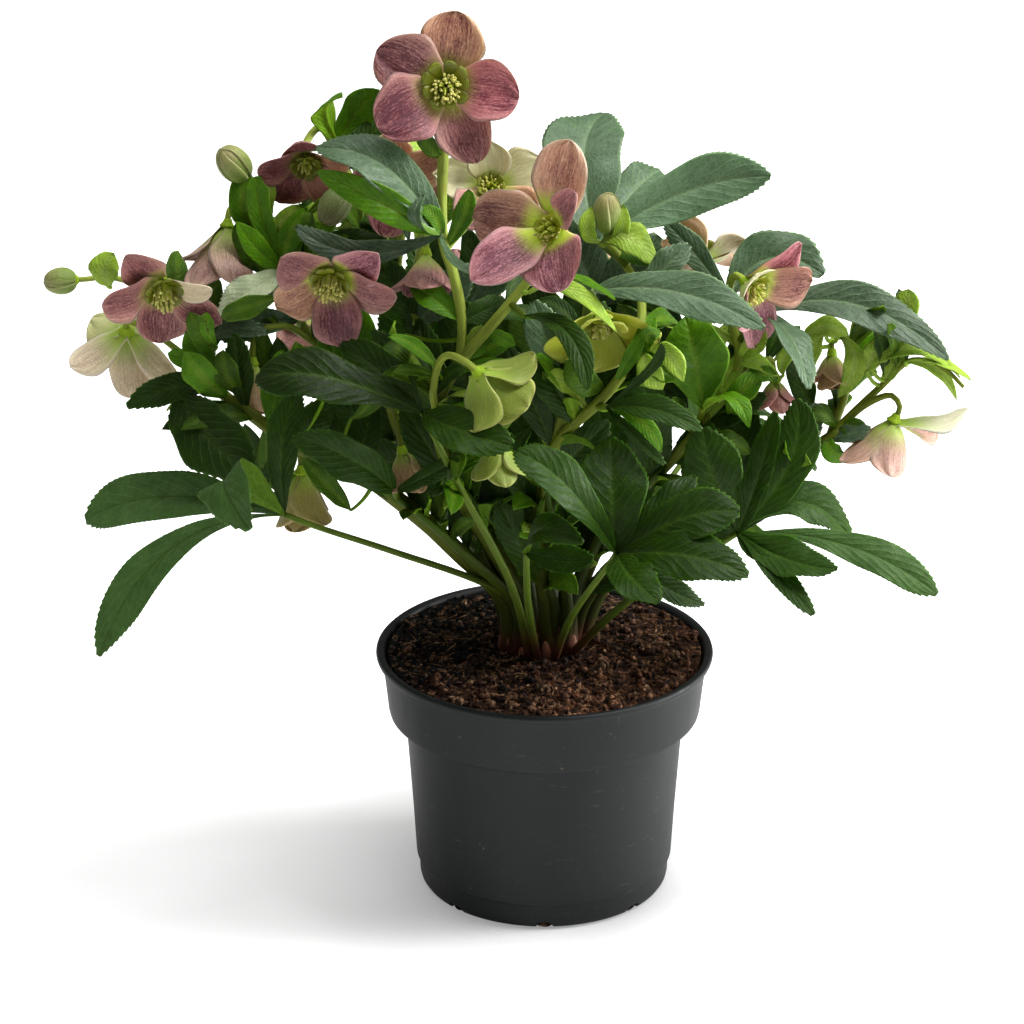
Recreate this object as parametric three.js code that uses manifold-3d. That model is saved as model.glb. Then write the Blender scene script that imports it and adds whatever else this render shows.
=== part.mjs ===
// A hellebore in flower, growing in a moulded plastic nursery pot.
// Millimetres, +Z up, -Y is the front. The origin is on the ground under the middle of the pot.
import * as THREE from 'three';
import { mergeVertices } from 'three/addons/utils/BufferGeometryUtils.js';
import Module from 'manifold-3d';

const wasm = await Module();
wasm.setup();
const { Manifold, Mesh } = wasm;

// ---------------------------------------------------------------- driving dimensions

const POT_HEIGHT = 105;
const RIM_RADIUS = 70;
const BASE_RADIUS = 52.5;
const COLLAR_Z = 76.4; // where the stacking collar steps out from the body
const COLLAR_RADIUS = 65;
const BODY_TOP_RADIUS = 58.2;
const WALL = 1.6;
const FLOOR = 1.8;
const POT_SIDES = 30;
const CREASE_Z = 12; // the fine moulded line round the foot
const DRAIN_HOLES = 8;
const DRAIN_RADIUS = 4.5;
const DRAIN_RING = 48.5;
const DRAIN_HEIGHT = 3.4;

const SOIL_EDGE_Z = 100; // soil level at the wall
const SOIL_MOUND = 3.5; // how much higher it is at the crown
const CROWN_RADII = [19, 14, 9];
const CROWN_AT = [0, 0, 100];

const GAP = 0.3; // clearance between touching pieces
const SMOOTHING = 0.08; // cuts leave no slivers finer than this
const LEAF_THICKNESS = 1.1;
const SEPAL_THICKNESS = 1;
const SEPALS = 5;
const EYE_RATIO = 0.24; // radius of the nectary ring, as a share of the flower's
const EYE_DEPTH = 0.34;
const RECEPTACLE = 2.6; // depth of the green heart behind the sepals
const SEAT_DEPTH = 0.9; // how far a stem's end goes into what it carries
const SEAT_APPROACH = 4;
const PETIOLE_RADIUS = 1.5;
const LEAF_BOW = 0.12; // how far a stem's leaf bows, as a share of its length
const KNOT_RADIUS = 2; // where a leaf's blades join
const CURVE_STEP = 22; // length of one step along a stem
const TUBE_SIDES = 5;

// Directions that a blade's upper side looks in.
const UP = [0, 0, 1];
const FRONT = [0, -1, 0.25];
const FRONT_UP = [0, -1, 1];
const LOW_FRONT = [0, -1, -0.35];
const LEFT_UP = [-1, -1, 1];
const RIGHT_UP = [1, -1, 1];

const SLATE = { color: 0x43494b, roughness: 0.55 };
const PEAT = { color: 0x2b1c14, roughness: 1 };
const RHIZOME = { color: 0x4a2b22, roughness: 0.8 };
const STEM_GREEN = { color: 0x6f8c35, roughness: 0.5 };
const DARK_LEAF = { color: 0x2c4a30, roughness: 0.45 };
const BLUE_LEAF = { color: 0x557565, roughness: 0.5 };
const BRIGHT_LEAF = { color: 0x5a8a1e, roughness: 0.5 };
const MAUVE = { color: 0x8d5661, roughness: 0.6 };
const PINK = { color: 0xbd7f88, roughness: 0.6 };
const TAN = { color: 0xb59a78, roughness: 0.6 };
const LIME = { color: 0x9db548, roughness: 0.6 };
const PALE = { color: 0xd6cdbb, roughness: 0.6 };

// ---------------------------------------------------------------- the plant's layout

// A length of stem through these points, thinning from one radius to the other. It ends in
// the back of the flower or bud that it carries.
const branch = (points, from, to, carries) => ({ points, from, to, carries });

// A blade through mid to tip, with its greatest width. It grows from its leaf's joint,
// or from a point on the blade before it.
const leaflet = (mid, tip, width, faces, from) => ({ mid, tip, width, faces, from });

// A leaf without a stalk, that grows from a stem.
const stemLeaf = (from, tip, width, faces) => ({ from, tip, width, faces });

// A leaf: its stalk, whose last point is the joint of the leaflets, and the leaflets.
const leaf = (finish, stalk, leaflets) => ({ finish, stalk, leaflets });

// A flower at its middle, looking along axis. cup is the rise of its sepals in degrees,
// and turn is where the first of them points, counted from the flower's own right.
const flower = (at, axis, radius, cup, turn, finish) => ({ at, axis, radius, cup, turn, finish });

// A closed bud: its middle, the direction of its tip, its radius and half its length.
const bud = (at, axis, radius, reach) => ({ at, axis, radius, reach });

const STEMS = {
  stem_front_tall: [
    branch([[-7, -6, 103], [-9, -10, 129], [-22, -20, 159], [-37, -32, 192], [-43, -41, 225],
      [-33, -48, 248], [-23, -50, 261], [-6, -50, 283]], 3.8, 1.6, 'flower_front'),
    branch([[-34, -48, 246], [-33, -47, 264], [-36, -44, 281], [-40, -42, 295], [-40, -34, 328]],
    1.9, 2.2, 'flower_top'),
    branch([[-39, -42, 292], [-32, -32, 297], [-25, -14, 297]], 1.8, 1.4, 'flower_upright'),
    branch([[-42, -40, 218], [-44, -58, 240], [-38, -76, 260]], 1.6, 1.3, 'flower_lime'),
    branch([[-37, -32, 190], [-31, -60, 220], [-22, -80, 238]], 1.6, 1.2, 'flower_globe'),
  ],
  stem_centre: [
    branch([[2, -8, 103], [0, -13, 128], [-3, -25, 172], [3, -35, 207], [20, -50, 231],
      [26, -52, 239], [34, -46, 250], [37, -25, 266], [28, -12, 280]],
    3.3, 1.4, 'bud_centre'),
    branch([[3, -35, 205], [8, -37, 229], [14, -30, 252], [17, -32, 268]], 2.2, 1.5, 'flower_bell'),
  ],
  stem_right: [
    branch([[9, -4, 103], [14, 1, 128], [28, 0, 162], [50, -8, 190], [62, -12, 207],
      [70, -12, 222], [77, -12, 235], [72, -8, 258]], 3.2, 1.5, 'flower_right'),
    branch([[71, -12, 224], [67, 2, 240], [63, 8, 253]], 1.7, 1.3, 'flower_peach'),
    branch([[64, -12, 211], [78, -8, 229], [90, -5, 233]], 1.5, 1.2, 'flower_right_small'),
  ],
  stem_far_right: [
    branch([[14, 3, 103], [24, 6, 128], [50, -2, 158], [80, -10, 178], [106, -15, 198],
      [118, -15, 206]], 3, 2.2),
    branch([[112, -15, 202], [128, -14, 217], [138, -17, 222]], 1.6, 1.1, 'flower_far_right'),
    branch([[114, -15, 204], [121, -4, 220], [121, 2, 240]], 1.6, 1.3, 'flower_right_bracts'),
    branch([[113, -15, 203], [134, -12, 224], [146, -14, 236], [158, -18, 234], [166, -21, 227]],
      1.7, 0.8),
  ],
  stem_left_tall: [
    branch([[-9, 3, 103], [-12, 6, 128], [-35, 12, 157], [-59, 10, 193], [-83, 8, 224],
      [-99, 5, 246], [-104, 5, 271], [-111, 3, 285], [-113, 4, 300]], 3.6, 1.2, 'bud_left'),
    branch([[-104, 5, 264], [-113, 8, 283], [-124, 11, 292]], 1.5, 1.2, 'flower_pale_side'),
    branch([[-99, 5, 244], [-92, -12, 274], [-83, -30, 288]], 1.6, 1.4, 'flower_left'),
    branch([[-93, 6, 236], [-104, -2, 246], [-115, -9, 246]], 1.4, 1.1, 'flower_cream'),
    branch([[-60, 10, 194], [-63, -8, 214], [-59, -25, 216]], 1.4, 1.1, 'flower_brown'),
  ],
  stem_low_left: [
    branch([[-13, -3, 103], [-16, -7, 128], [-36, -21, 157], [-56, -30, 180], [-75, -33, 195],
      [-99, -33, 207], [-119, -26, 219], [-130, -20, 226], [-135, -11, 242], [-148, -12, 262]],
    4.6, 1.3, 'flower_far_left'),
    branch([[-129, -21, 225], [-144, -12, 237], [-160, -6, 247]], 1.5, 1.2, 'flower_pale_left'),
    branch([[-135, -12, 240], [-156, -6, 261], [-172, -15, 271]], 1.3, 1, 'bud_far_left'),
    branch([[-90, -33, 202], [-97, -24, 203]], 1.4, 1.1, 'flower_low_left'),
  ],
  stem_back_left: [
    branch([[-4, 6, 103], [-8, 14, 135], [-30, 22, 185], [-52, 20, 240], [-66, 15, 280],
      [-80, 16, 306], [-90, 20, 322]], 3, 1.4, 'flower_dark_nodding'),
    branch([[-60, 17, 262], [-57, 14, 290]], 1.7, 1.4, 'flower_behind_leaf'),
    branch([[-55, 19, 248], [-50, 2, 278], [-47, -16, 292]], 1.6, 1.2, 'flower_inner'),
    branch([[-68, 14, 283], [-73, 4, 300]], 1.4, 1.1, 'bud_behind_leaf'),
  ],
  stem_back_right: [
    branch([[6, 7, 103], [10, 18, 135], [20, 40, 190], [24, 56, 236]], 2.8, 1.3, 'flower_back_right'),
  ],
  stem_back_centre: [
    branch([[-2, 9, 103], [-6, 26, 140], [-20, 54, 190], [-34, 74, 224]], 2.8, 1.3, 'flower_back_centre'),
    branch([[-12, 40, 165], [-50, 52, 208], [-76, 52, 228]], 1.8, 1.2, 'flower_back_left'),
  ],
};

const STEM_LEAVES = {
  stem_front_tall: [
    stemLeaf([-30, -26, 176], [-57, -30, 223], 14, FRONT),
    stemLeaf([-37, -32, 192], [-26, -28, 226], 14, FRONT),
    stemLeaf([-43, -41, 225], [-68, -38, 257], 15, FRONT),
    stemLeaf([-43, -41, 225], [-50, -30, 259], 14, FRONT),
    stemLeaf([-38, -44, 237], [-60, -52, 253], 11, FRONT_UP),
    stemLeaf([-33, -47, 264], [-53, -40, 276], 11, FRONT_UP),
    stemLeaf([-33, -48, 248], [-23, -38, 254], 7, FRONT),
    stemLeaf([-23, -50, 261], [-12, -45, 253], 6, FRONT),
    stemLeaf([-33, -47, 264], [-16, -40, 270], 10, FRONT),
    stemLeaf([-6, -50, 283], [26, -66, 279], 7, UP),
  ],
  stem_centre: [
    stemLeaf([-2, -20, 155], [-28, -22, 199], 17, FRONT),
    stemLeaf([-3, -25, 172], [-18, -30, 212], 13, FRONT),
    stemLeaf([3, -35, 207], [-16, -32, 249], 13, FRONT),
    stemLeaf([3, -35, 207], [-1, -28, 256], 15, FRONT),
    stemLeaf([0, -30, 190], [25, -30, 216], 16, FRONT),
    stemLeaf([12, -43, 219], [-3, -44, 247], 14, FRONT),
    stemLeaf([8, -37, 229], [-5, -38, 269], 16, FRONT),
    stemLeaf([-1, -16, 140], [-19, -30, 182], 14, FRONT),
    stemLeaf([26, -52, 239], [38, -50, 261], 12, FRONT),
    stemLeaf([34, -46, 250], [50, -55, 242], 11, FRONT_UP),
    stemLeaf([34, -46, 250], [42, -44, 264], 8, FRONT),
    stemLeaf([37, -25, 266], [56, -20, 286], 12, FRONT_UP),
    stemLeaf([28, -12, 280], [43, -16, 278], 9, FRONT_UP),
  ],
  stem_right: [
    stemLeaf([28, 0, 162], [22, 5, 210], 22, FRONT),
    stemLeaf([40, -4, 177], [44, -6, 220], 18, FRONT),
    stemLeaf([50, -8, 190], [38, -12, 229], 14, FRONT),
    stemLeaf([50, -8, 190], [77, 0, 207], 16, FRONT),
    stemLeaf([62, -12, 207], [88, -14, 221], 14, FRONT_UP),
    stemLeaf([70, -12, 222], [48, -10, 239], 13, FRONT),
    stemLeaf([14, 1, 128], [49, -8, 147], 14, FRONT_UP),
    stemLeaf([77, -12, 235], [87, -14, 249], 9, FRONT),
    stemLeaf([62, -12, 207], [79, -10, 239], 9, FRONT),
    stemLeaf([28, 0, 162], [45, 4, 191], 18, FRONT),
  ],
  stem_far_right: [
    stemLeaf([65, -6, 168], [63, 2, 204], 20, FRONT),
    stemLeaf([80, -10, 178], [79, 0, 216], 18, FRONT),
    stemLeaf([80, -10, 178], [101, -6, 205], 16, FRONT),
    stemLeaf([93, -12, 188], [109, -16, 218], 13, FRONT),
    stemLeaf([106, -15, 198], [97, -22, 218], 12, FRONT_UP),
    stemLeaf([112, -15, 202], [130, -20, 208], 8, FRONT_UP),
    stemLeaf([146, -14, 236], [169, -20, 230], 7, UP),
    stemLeaf([134, -12, 224], [143, -10, 241], 7, FRONT),
    stemLeaf([50, -2, 158], [82, 2, 161], 16, FRONT),
    stemLeaf([65, -6, 168], [87, 0, 192], 18, FRONT),
    stemLeaf([80, -10, 178], [91, -20, 183], 12, FRONT_UP),
    stemLeaf([24, 6, 128], [60, 6, 141], 14, FRONT_UP),
  ],
  stem_left_tall: [
    stemLeaf([-59, 10, 193], [-69, 5, 236], 18, FRONT),
    stemLeaf([-59, 10, 193], [-91, 2, 215], 16, FRONT),
    stemLeaf([-71, 9, 209], [-76, 0, 256], 14, FRONT),
    stemLeaf([-83, 8, 224], [-114, -5, 228], 13, FRONT),
    stemLeaf([-83, 8, 224], [-91, 0, 261], 12, FRONT),
    stemLeaf([-99, 5, 246], [-132, -8, 244], 14, FRONT_UP),
    stemLeaf([-102, 5, 258], [-128, -14, 258], 12, FRONT_UP),
    stemLeaf([-104, 5, 271], [-64, -10, 285], 12, FRONT_UP),
    stemLeaf([-104, 5, 271], [-92, 11, 296], 11, FRONT),
    stemLeaf([-92, 6, 236], [-78, 8, 273], 16, FRONT),
    stemLeaf([-99, 5, 246], [-102, -10, 273], 9, FRONT),
    stemLeaf([-83, 8, 224], [-80, -10, 256], 9, FRONT),
    stemLeaf([-59, 10, 193], [-46, 0, 235], 14, FRONT),
    stemLeaf([-47, 11, 175], [-79, 5, 195], 16, FRONT),
    stemLeaf([-47, 11, 175], [-47, 12, 209], 16, FRONT),
  ],
  stem_low_left: [
    stemLeaf([-75, -33, 195], [-95, -28, 222], 16, FRONT),
    stemLeaf([-75, -33, 195], [-69, -25, 223], 14, FRONT),
    stemLeaf([-119, -26, 219], [-123, -20, 249], 11, FRONT),
    stemLeaf([-131, -18, 230], [-142, -26, 252], 11, FRONT),
    stemLeaf([-109, -30, 213], [-104, -24, 244], 12, FRONT),
    stemLeaf([-132, -16, 234], [-150, -20, 241], 9, FRONT),
    stemLeaf([-56, -30, 180], [-86, -28, 206], 12, FRONT_UP),
    stemLeaf([-99, -33, 207], [-85, -30, 225], 12, FRONT),
  ],
  stem_back_left: [
    stemLeaf([-30, 22, 185], [-51, 20, 217], 20, FRONT),
    stemLeaf([-41, 21, 212], [-76, 22, 227], 20, FRONT),
    stemLeaf([-41, 21, 212], [-33, 18, 250], 20, FRONT),
    stemLeaf([-52, 20, 240], [-69, 16, 270], 16, FRONT),
    stemLeaf([-52, 20, 240], [-30, 12, 267], 16, FRONT),
    stemLeaf([-59, 17, 262], [-80, 14, 288], 14, FRONT),
    stemLeaf([-66, 15, 280], [-88, 10, 293], 12, FRONT_UP),
    stemLeaf([-66, 15, 280], [-56, 12, 305], 14, FRONT),
    stemLeaf([-80, 16, 306], [-64, 20, 325], 14, FRONT),
    stemLeaf([-73, 15, 293], [-98, 5, 290], 10, FRONT_UP),
  ],
  stem_back_right: [
    stemLeaf([10, 18, 135], [28, 14, 178], 20, FRONT),
    stemLeaf([20, 40, 190], [0, 38, 228], 24, FRONT),
    stemLeaf([20, 40, 190], [45, 36, 231], 24, FRONT),
    stemLeaf([24, 56, 236], [6, 48, 277], 24, FRONT),
    stemLeaf([24, 56, 236], [47, 48, 268], 22, FRONT),
    stemLeaf([15, 29, 162], [-2, 25, 187], 20, FRONT),
    stemLeaf([20, 40, 190], [23, 42, 242], 24, FRONT),
    stemLeaf([10, 18, 135], [15, 16, 173], 18, FRONT),
    stemLeaf([24, 56, 236], [64, 52, 243], 20, FRONT),
  ],
  stem_back_centre: [
    stemLeaf([-12, 40, 165], [-37, 38, 195], 22, FRONT),
    stemLeaf([-20, 54, 190], [-18, 48, 240], 24, FRONT),
    stemLeaf([-34, 74, 224], [-18, 66, 263], 22, FRONT),
    stemLeaf([-50, 52, 208], [-64, 48, 245], 22, FRONT),
    stemLeaf([-76, 52, 228], [-101, 45, 263], 18, FRONT),
    stemLeaf([-34, 74, 224], [-56, 66, 256], 20, FRONT),
    stemLeaf([-6, 26, 140], [-31, 24, 170], 18, FRONT),
    stemLeaf([-12, 40, 165], [-6, 40, 199], 20, FRONT),
    stemLeaf([-50, 52, 208], [-43, 50, 244], 20, FRONT),
  ],
};

const FLOWERS = {
  flower_top: flower([-39, -30, 353], [0.05, -1, 0.25], 31, 14, 84, MAUVE),
  flower_front: flower([2, -60, 305], [-0.4, -0.85, 0.3], 30, 22, 75, MAUVE),
  flower_left: flower([-83, -42, 281], [-0.15, -0.95, -0.3], 25, 20, 55, PINK),
  flower_far_left: flower([-151, -25, 272], [0.3, -0.85, -0.4], 26, 20, 125, MAUVE),
  flower_pale_left: flower([-168, 0, 243], [-0.1, 0.5, -0.75], 27, 34, 95, PALE),
  flower_dark_nodding: flower([-95, 8, 314], [0.05, -0.85, -0.45], 21, 30, 20, MAUVE),
  flower_pale_side: flower([-127, 6, 285], [-0.15, -0.3, -0.95], 28, 58, 100, PALE),
  flower_upright: flower([-22, -15, 307], [0.1, -0.8, 0.5], 23, 26, 40, PALE),
  flower_behind_leaf: flower([-58, 0, 306], [0, -0.95, 0.1], 20, 20, 90, MAUVE),
  flower_inner: flower([-47, -26, 283], [0, -0.5, -0.8], 18, 45, 90, MAUVE),
  flower_right: flower([79, -20, 270], [0.65, -0.7, -0.25], 26, 22, 60, PINK),
  flower_peach: flower([63, 15, 267], [0.1, 0.6, 0.5], 23, 25, 100, TAN),
  flower_far_right: flower([139, -20, 212], [-0.3, -0.05, -0.9], 29, 26, 20, PALE),
  flower_right_bracts: flower([115, -2, 233], [0, -0.35, -0.9], 15, 66, 60, TAN),
  flower_right_small: flower([92, -5, 223], [0.1, -0.2, -1], 13, 62, 30, PINK),
  flower_lime: flower([-26, -80, 254], [0.6, 0.3, -0.7], 24, 38, 100, LIME),
  flower_bell: flower([20, -44, 264], [0.15, -0.75, -0.6], 23, 46, 10, LIME),
  flower_globe: flower([-19, -85, 228], [0, -0.15, -1], 18, 63, 0, LIME),
  flower_low_left: flower([-98, -20, 190], [0.05, -0.15, -1], 31, 69, 40, TAN),
  flower_cream: flower([-117, -12, 233], [0, -0.2, -1], 22, 72, 70, TAN),
  flower_brown: flower([-57, -30, 202], [0.2, -0.3, -1], 18, 67, 20, TAN),
  flower_back_left: flower([-90, 61, 227], [-0.4, 0.7, -0.5], 24, 28, 50, MAUVE),
  flower_back_centre: flower([-41, 90, 229], [0, 0.8, -0.5], 25, 24, 30, MAUVE),
  flower_back_right: flower([22, 76, 248], [0.1, 0.9, -0.1], 26, 20, 80, PINK),
};

const BUDS = {
  bud_far_left: bud([-191, -20, 271], [-1, -0.1, -0.05], 5.5, 6.5),
  bud_left: bud([-123, 0, 313], [-0.5, -0.4, 0.8], 6.5, 8.5),
  bud_centre: bud([24, -14, 297], [0, -0.2, 1], 6, 8.5),
  bud_behind_leaf: bud([-83, -15, 300], [-0.5, -0.5, -0.7], 6.5, 8),
};

const LEAVES = {
  leaf_low_left: leaf(DARK_LEAF,
    [[-12, -7, 104], [-12, -13, 130], [-24, -19, 141], [-62, -34, 162], [-93, -48, 179],
      [-103, -52, 185]], [
      leaflet([-149, -40, 188], [-184, -33, 175], 27, FRONT_UP),
      leaflet([-148, -62, 174], [-176, -75, 134], 24, FRONT_UP),
      leaflet([-124, -75, 209], [-114, -88, 193], 24, LEFT_UP),
      leaflet([-103, -50, 216], [-96, -40, 234], 13, FRONT),
    ]),
  leaf_large_left: leaf(DARK_LEAF, [[-126, -22, 223], [-130, -24, 228]], [
    leaflet([-147, -27, 229], [-166, -30, 222], 13, FRONT_UP),
    leaflet([-135, -40, 215], [-114, -50, 201], 26, FRONT, [-145, -27, 229]),
  ]),
  leaf_centre_left: leaf(DARK_LEAF, [[-6, -11, 104], [-14, -40, 150], [-36, -62, 205], [-48, -66, 233]], [
    leaflet([-85, -77, 252], [-112, -67, 247], 21, FRONT_UP),
    leaflet([-62, -62, 247], [-80, -49, 255], 17, FRONT),
    leaflet([-33, -87, 234], [-13, -97, 231], 20, FRONT_UP),
  ]),
  leaf_under_left: leaf(DARK_LEAF, [[-59, -31, 183], [-60, -40, 190]], [
    leaflet([-77, -58, 211], [-99, -57, 219], 18, FRONT),
    leaflet([-46, -58, 204], [-34, -66, 214], 9, FRONT_UP),
  ]),
  leaf_curled_left: leaf(BRIGHT_LEAF, [[-80, 13, 306], [-83, 18, 316]], [
    leaflet([-88, 15, 331], [-80, 2, 340], 13, [-1, 0.8, 0.5]),
    leaflet([-75, 20, 328], [-66, 14, 339], 14, FRONT),
  ]),
  leaf_under_top_flower: leaf(BLUE_LEAF, [[-40, -42, 294], [-41, -45, 298]], [
    leaflet([-62, -47, 326], [-89, -37, 330], 20, FRONT_UP),
    leaflet([-66, -54, 315], [-88, -44, 323], 13, FRONT),
    leaflet([-50, -58, 308], [-47, -52, 316], 8, LEFT_UP),
    leaflet([-72, -46, 291], [-97, -34, 298], 11, FRONT_UP),
    leaflet([-32, -62, 290], [-18, -58, 290], 6, UP),
  ]),
  leaf_top_right: leaf(BLUE_LEAF, [[32, -16, 276], [20, -6, 283]], [
    leaflet([15, 19, 311], [24, 45, 321], 33, FRONT),
    leaflet([36, 24, 295], [47, 40, 298], 20, FRONT_UP),
    leaflet([55, -5, 303], [87, -20, 314], 24, FRONT_UP),
  ]),
  leaf_behind_right: leaf(BLUE_LEAF, [[76, -11, 252], [73, 2, 257]], [
    leaflet([58, 2, 277], [47, 6, 287], 16, FRONT),
    leaflet([90, 9, 271], [111, 3, 266], 24, FRONT_UP),
  ]),
  leaf_long_right: leaf(BLUE_LEAF, [[13, -35, 246], [16, -46, 268], [18, -49, 277]], [
    leaflet([51, -64, 281], [82, -77, 271], 18, FRONT_UP),
  ]),
  leaf_drooping: leaf(DARK_LEAF, [[-14, -50, 272], [-9, -56, 269]], [
    leaflet([8, -74, 268], [15, -90, 251], 17, FRONT_UP),
  ]),
  leaf_far_right: leaf(BLUE_LEAF, [[77, -11, 243], [87, -8, 254]], [
    leaflet([123, -13, 259], [159, -25, 240], 22, FRONT_UP),
    leaflet([98, -25, 247], [103, -37, 232], 15, RIGHT_UP),
  ]),
  leaf_low_right: leaf(DARK_LEAF, [[10, -8, 104], [34, -28, 138], [60, -38, 160], [76, -42, 173]], [
    leaflet([101, -36, 184], [122, -40, 169], 18, FRONT_UP),
    leaflet([118, -54, 173], [154, -64, 156], 23, FRONT_UP),
    leaflet([95, -64, 171], [113, -76, 172], 20, FRONT_UP),
    leaflet([66, -44, 199], [62, -40, 217], 23, FRONT),
    leaflet([83, -54, 202], [89, -52, 228], 15, LEFT_UP),
    leaflet([97, -34, 200], [99, -27, 224], 18, FRONT),
  ]),
  leaf_front: leaf(DARK_LEAF, [[4, -11, 104], [10, -40, 135], [20, -70, 165], [27, -85, 182]], [
    leaflet([7, -104, 218], [-12, -100, 230], 18, FRONT_UP),
    leaflet([25, -82, 208], [25, -60, 221], 26, FRONT),
    leaflet([44, -82, 199], [57, -72, 209], 13, FRONT_UP),
    leaflet([51, -95, 201], [73, -98, 205], 20, FRONT_UP),
    leaflet([52, -107, 191], [76, -113, 185], 21, FRONT_UP),
    leaflet([32, -108, 182], [42, -122, 178], 17, FRONT_UP),
    leaflet([46, -92, 171], [61, -88, 162], 10, FRONT_UP),
  ]),
  leaf_young_front: leaf(DARK_LEAF, [[-3, -12, 104], [-7, -38, 140], [-8, -60, 172]], [
    leaflet([-2, -75, 188], [14, -84, 186], 14, FRONT_UP),
    leaflet([6, -70, 173], [18, -76, 176], 13, FRONT_UP),
  ]),
  leaf_bright: leaf(BRIGHT_LEAF, [[62, -12, 208], [62, -25, 220]], [
    leaflet([58, -36, 246], [54, -31, 260], 26, LOW_FRONT),
    leaflet([72, -48, 233], [79, -54, 222], 9, UP),
  ]),
  leaf_centre: leaf(DARK_LEAF, [[20, -50, 230], [23, -57, 232]], [
    leaflet([41, -75, 238], [59, -80, 231], 15, FRONT_UP),
    leaflet([34, -74, 226], [45, -80, 217], 7, FRONT_UP),
    leaflet([40, -68, 252], [43, -72, 263], 10, FRONT),
  ]),
  leaf_upper_left: leaf(BRIGHT_LEAF, [[-104, 4, 266], [-104, -4, 270]], [
    leaflet([-114, -15, 283], [-121, -18, 295], 11, FRONT_UP),
    leaflet([-101, -4, 285], [-96, 2, 296], 11, FRONT),
    leaflet([-116, -28, 270], [-128, -32, 262], 14, FRONT_UP),
    leaflet([-113, -6, 297], [-112, -5, 309], 10, FRONT),
  ]),
  leaf_behind_far_left: leaf(BLUE_LEAF, [[-133, -14, 238], [-134, -11, 244]], [
    leaflet([-123, -14, 249], [-111, -12, 247], 9, FRONT_UP),
    leaflet([-141, -5, 251], [-147, 0, 257], 9, FRONT),
  ]),
  leaf_back_left: leaf(DARK_LEAF, [[-8, 8, 104], [-34, 45, 135], [-60, 72, 158], [-70, 82, 166]], [
    leaflet([-95, 70, 176], [-118, 62, 160], 20, UP),
    leaflet([-92, 92, 176], [-114, 104, 158], 22, UP),
    leaflet([-72, 108, 178], [-76, 132, 160], 22, UP),
    leaflet([-52, 106, 178], [-40, 128, 164], 20, UP),
  ]),
  leaf_back_right: leaf(DARK_LEAF, [[8, 9, 104], [33, 39, 134], [57, 66, 158], [66, 77, 167]], [
    leaflet([92, 66, 176], [116, 60, 160], 20, UP),
    leaflet([88, 89, 177], [110, 103, 159], 21, UP),
    leaflet([68, 103, 178], [71, 129, 163], 21, UP),
    leaflet([46, 98, 180], [34, 120, 166], 20, UP),
  ]),
};

// ---------------------------------------------------------------- shape helpers

const vector = ([x, y, z]) => new THREE.Vector3(x, y, z);

// A three.js geometry, as a solid.
function solidOf(geometry) {
  const bare = geometry.index ? geometry.toNonIndexed() : geometry;
  bare.deleteAttribute('normal');
  bare.deleteAttribute('uv');
  const merged = mergeVertices(bare, 1e-4);
  return new Manifold(new Mesh({
    numProp: 3,
    vertProperties: new Float32Array(merged.attributes.position.array),
    triVerts: new Uint32Array(merged.index.array),
  }));
}

function geometryOf(solid) {
  const mesh = solid.getMesh();
  const geometry = new THREE.BufferGeometry();
  geometry.setAttribute('position', new THREE.BufferAttribute(mesh.vertProperties.slice(), 3));
  geometry.setIndex(new THREE.BufferAttribute(mesh.triVerts.slice(), 1));
  geometry.computeVertexNormals();
  return geometry;
}

// A closed skin over rings of points, with a fan of triangles over each end.
function loft(rings) {
  const sides = rings[0].length;
  const corners = [];
  rings.slice(1).forEach((ring, row) => {
    const last = rings[row];
    for (let i = 0; i < sides; i += 1) {
      const j = (i + 1) % sides;
      corners.push(last[i], last[j], ring[j], last[i], ring[j], ring[i]);
    }
  });
  const [first, end] = [rings[0], rings[rings.length - 1]];
  for (let i = 1; i < sides - 1; i += 1) {
    corners.push(first[0], first[i + 1], first[i], end[0], end[i], end[i + 1]);
  }
  return solidOf(new THREE.BufferGeometry().setFromPoints(corners));
}

// A round stem that thins from one radius to the other, through these points.
function tube(points, from, to, grow = 0) {
  const curve = new THREE.CatmullRomCurve3(points.map(vector));
  const spans = points.length - 1;
  const stops = points.flatMap((point, i) => {
    const next = points[Math.min(i + 1, spans)];
    const long = vector(point).distanceTo(vector(next)) > CURVE_STEP;
    return long ? [i / spans, (i + 0.5) / spans] : [i / spans];
  });
  const start = curve.getTangent(0);
  const normal = Math.abs(start.z) > 0.8 ? vector([1, 0, 0]) : vector(UP);
  const ringAt = (stop, beyond) => {
    const tangent = curve.getTangent(stop);
    normal.addScaledVector(tangent, -normal.dot(tangent)).normalize();
    const binormal = new THREE.Vector3().crossVectors(tangent, normal);
    const middle = curve.getPoint(stop).addScaledVector(tangent, beyond);
    const radius = THREE.MathUtils.lerp(from, to, stop) + grow;
    return Array.from({ length: TUBE_SIDES }, (_, side) => {
      const angle = (side / TUBE_SIDES) * 2 * Math.PI;
      return middle.clone()
        .addScaledVector(normal, radius * Math.cos(angle))
        .addScaledVector(binormal, radius * Math.sin(angle));
    });
  };
  const before = grow ? [ringAt(0, -grow)] : [];
  const rings = stops.map((stop) => ringAt(stop, 0));
  const after = grow ? [ringAt(1, grow)] : [];
  return loft([...before, ...rings, ...after]);
}

// Shares of a blade's greatest width, at shares of its length.
const LEAF_OUTLINE = [[0, 0.08], [0.3, 0.82], [0.66, 0.95], [1, 0.06]];

// A flower's reach, as shares of its radius: at a sepal's tip, and on both sides of the seam
// where it meets the next.
const LOBE_OUTLINE = [1, 0.86, 0.86];

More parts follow.
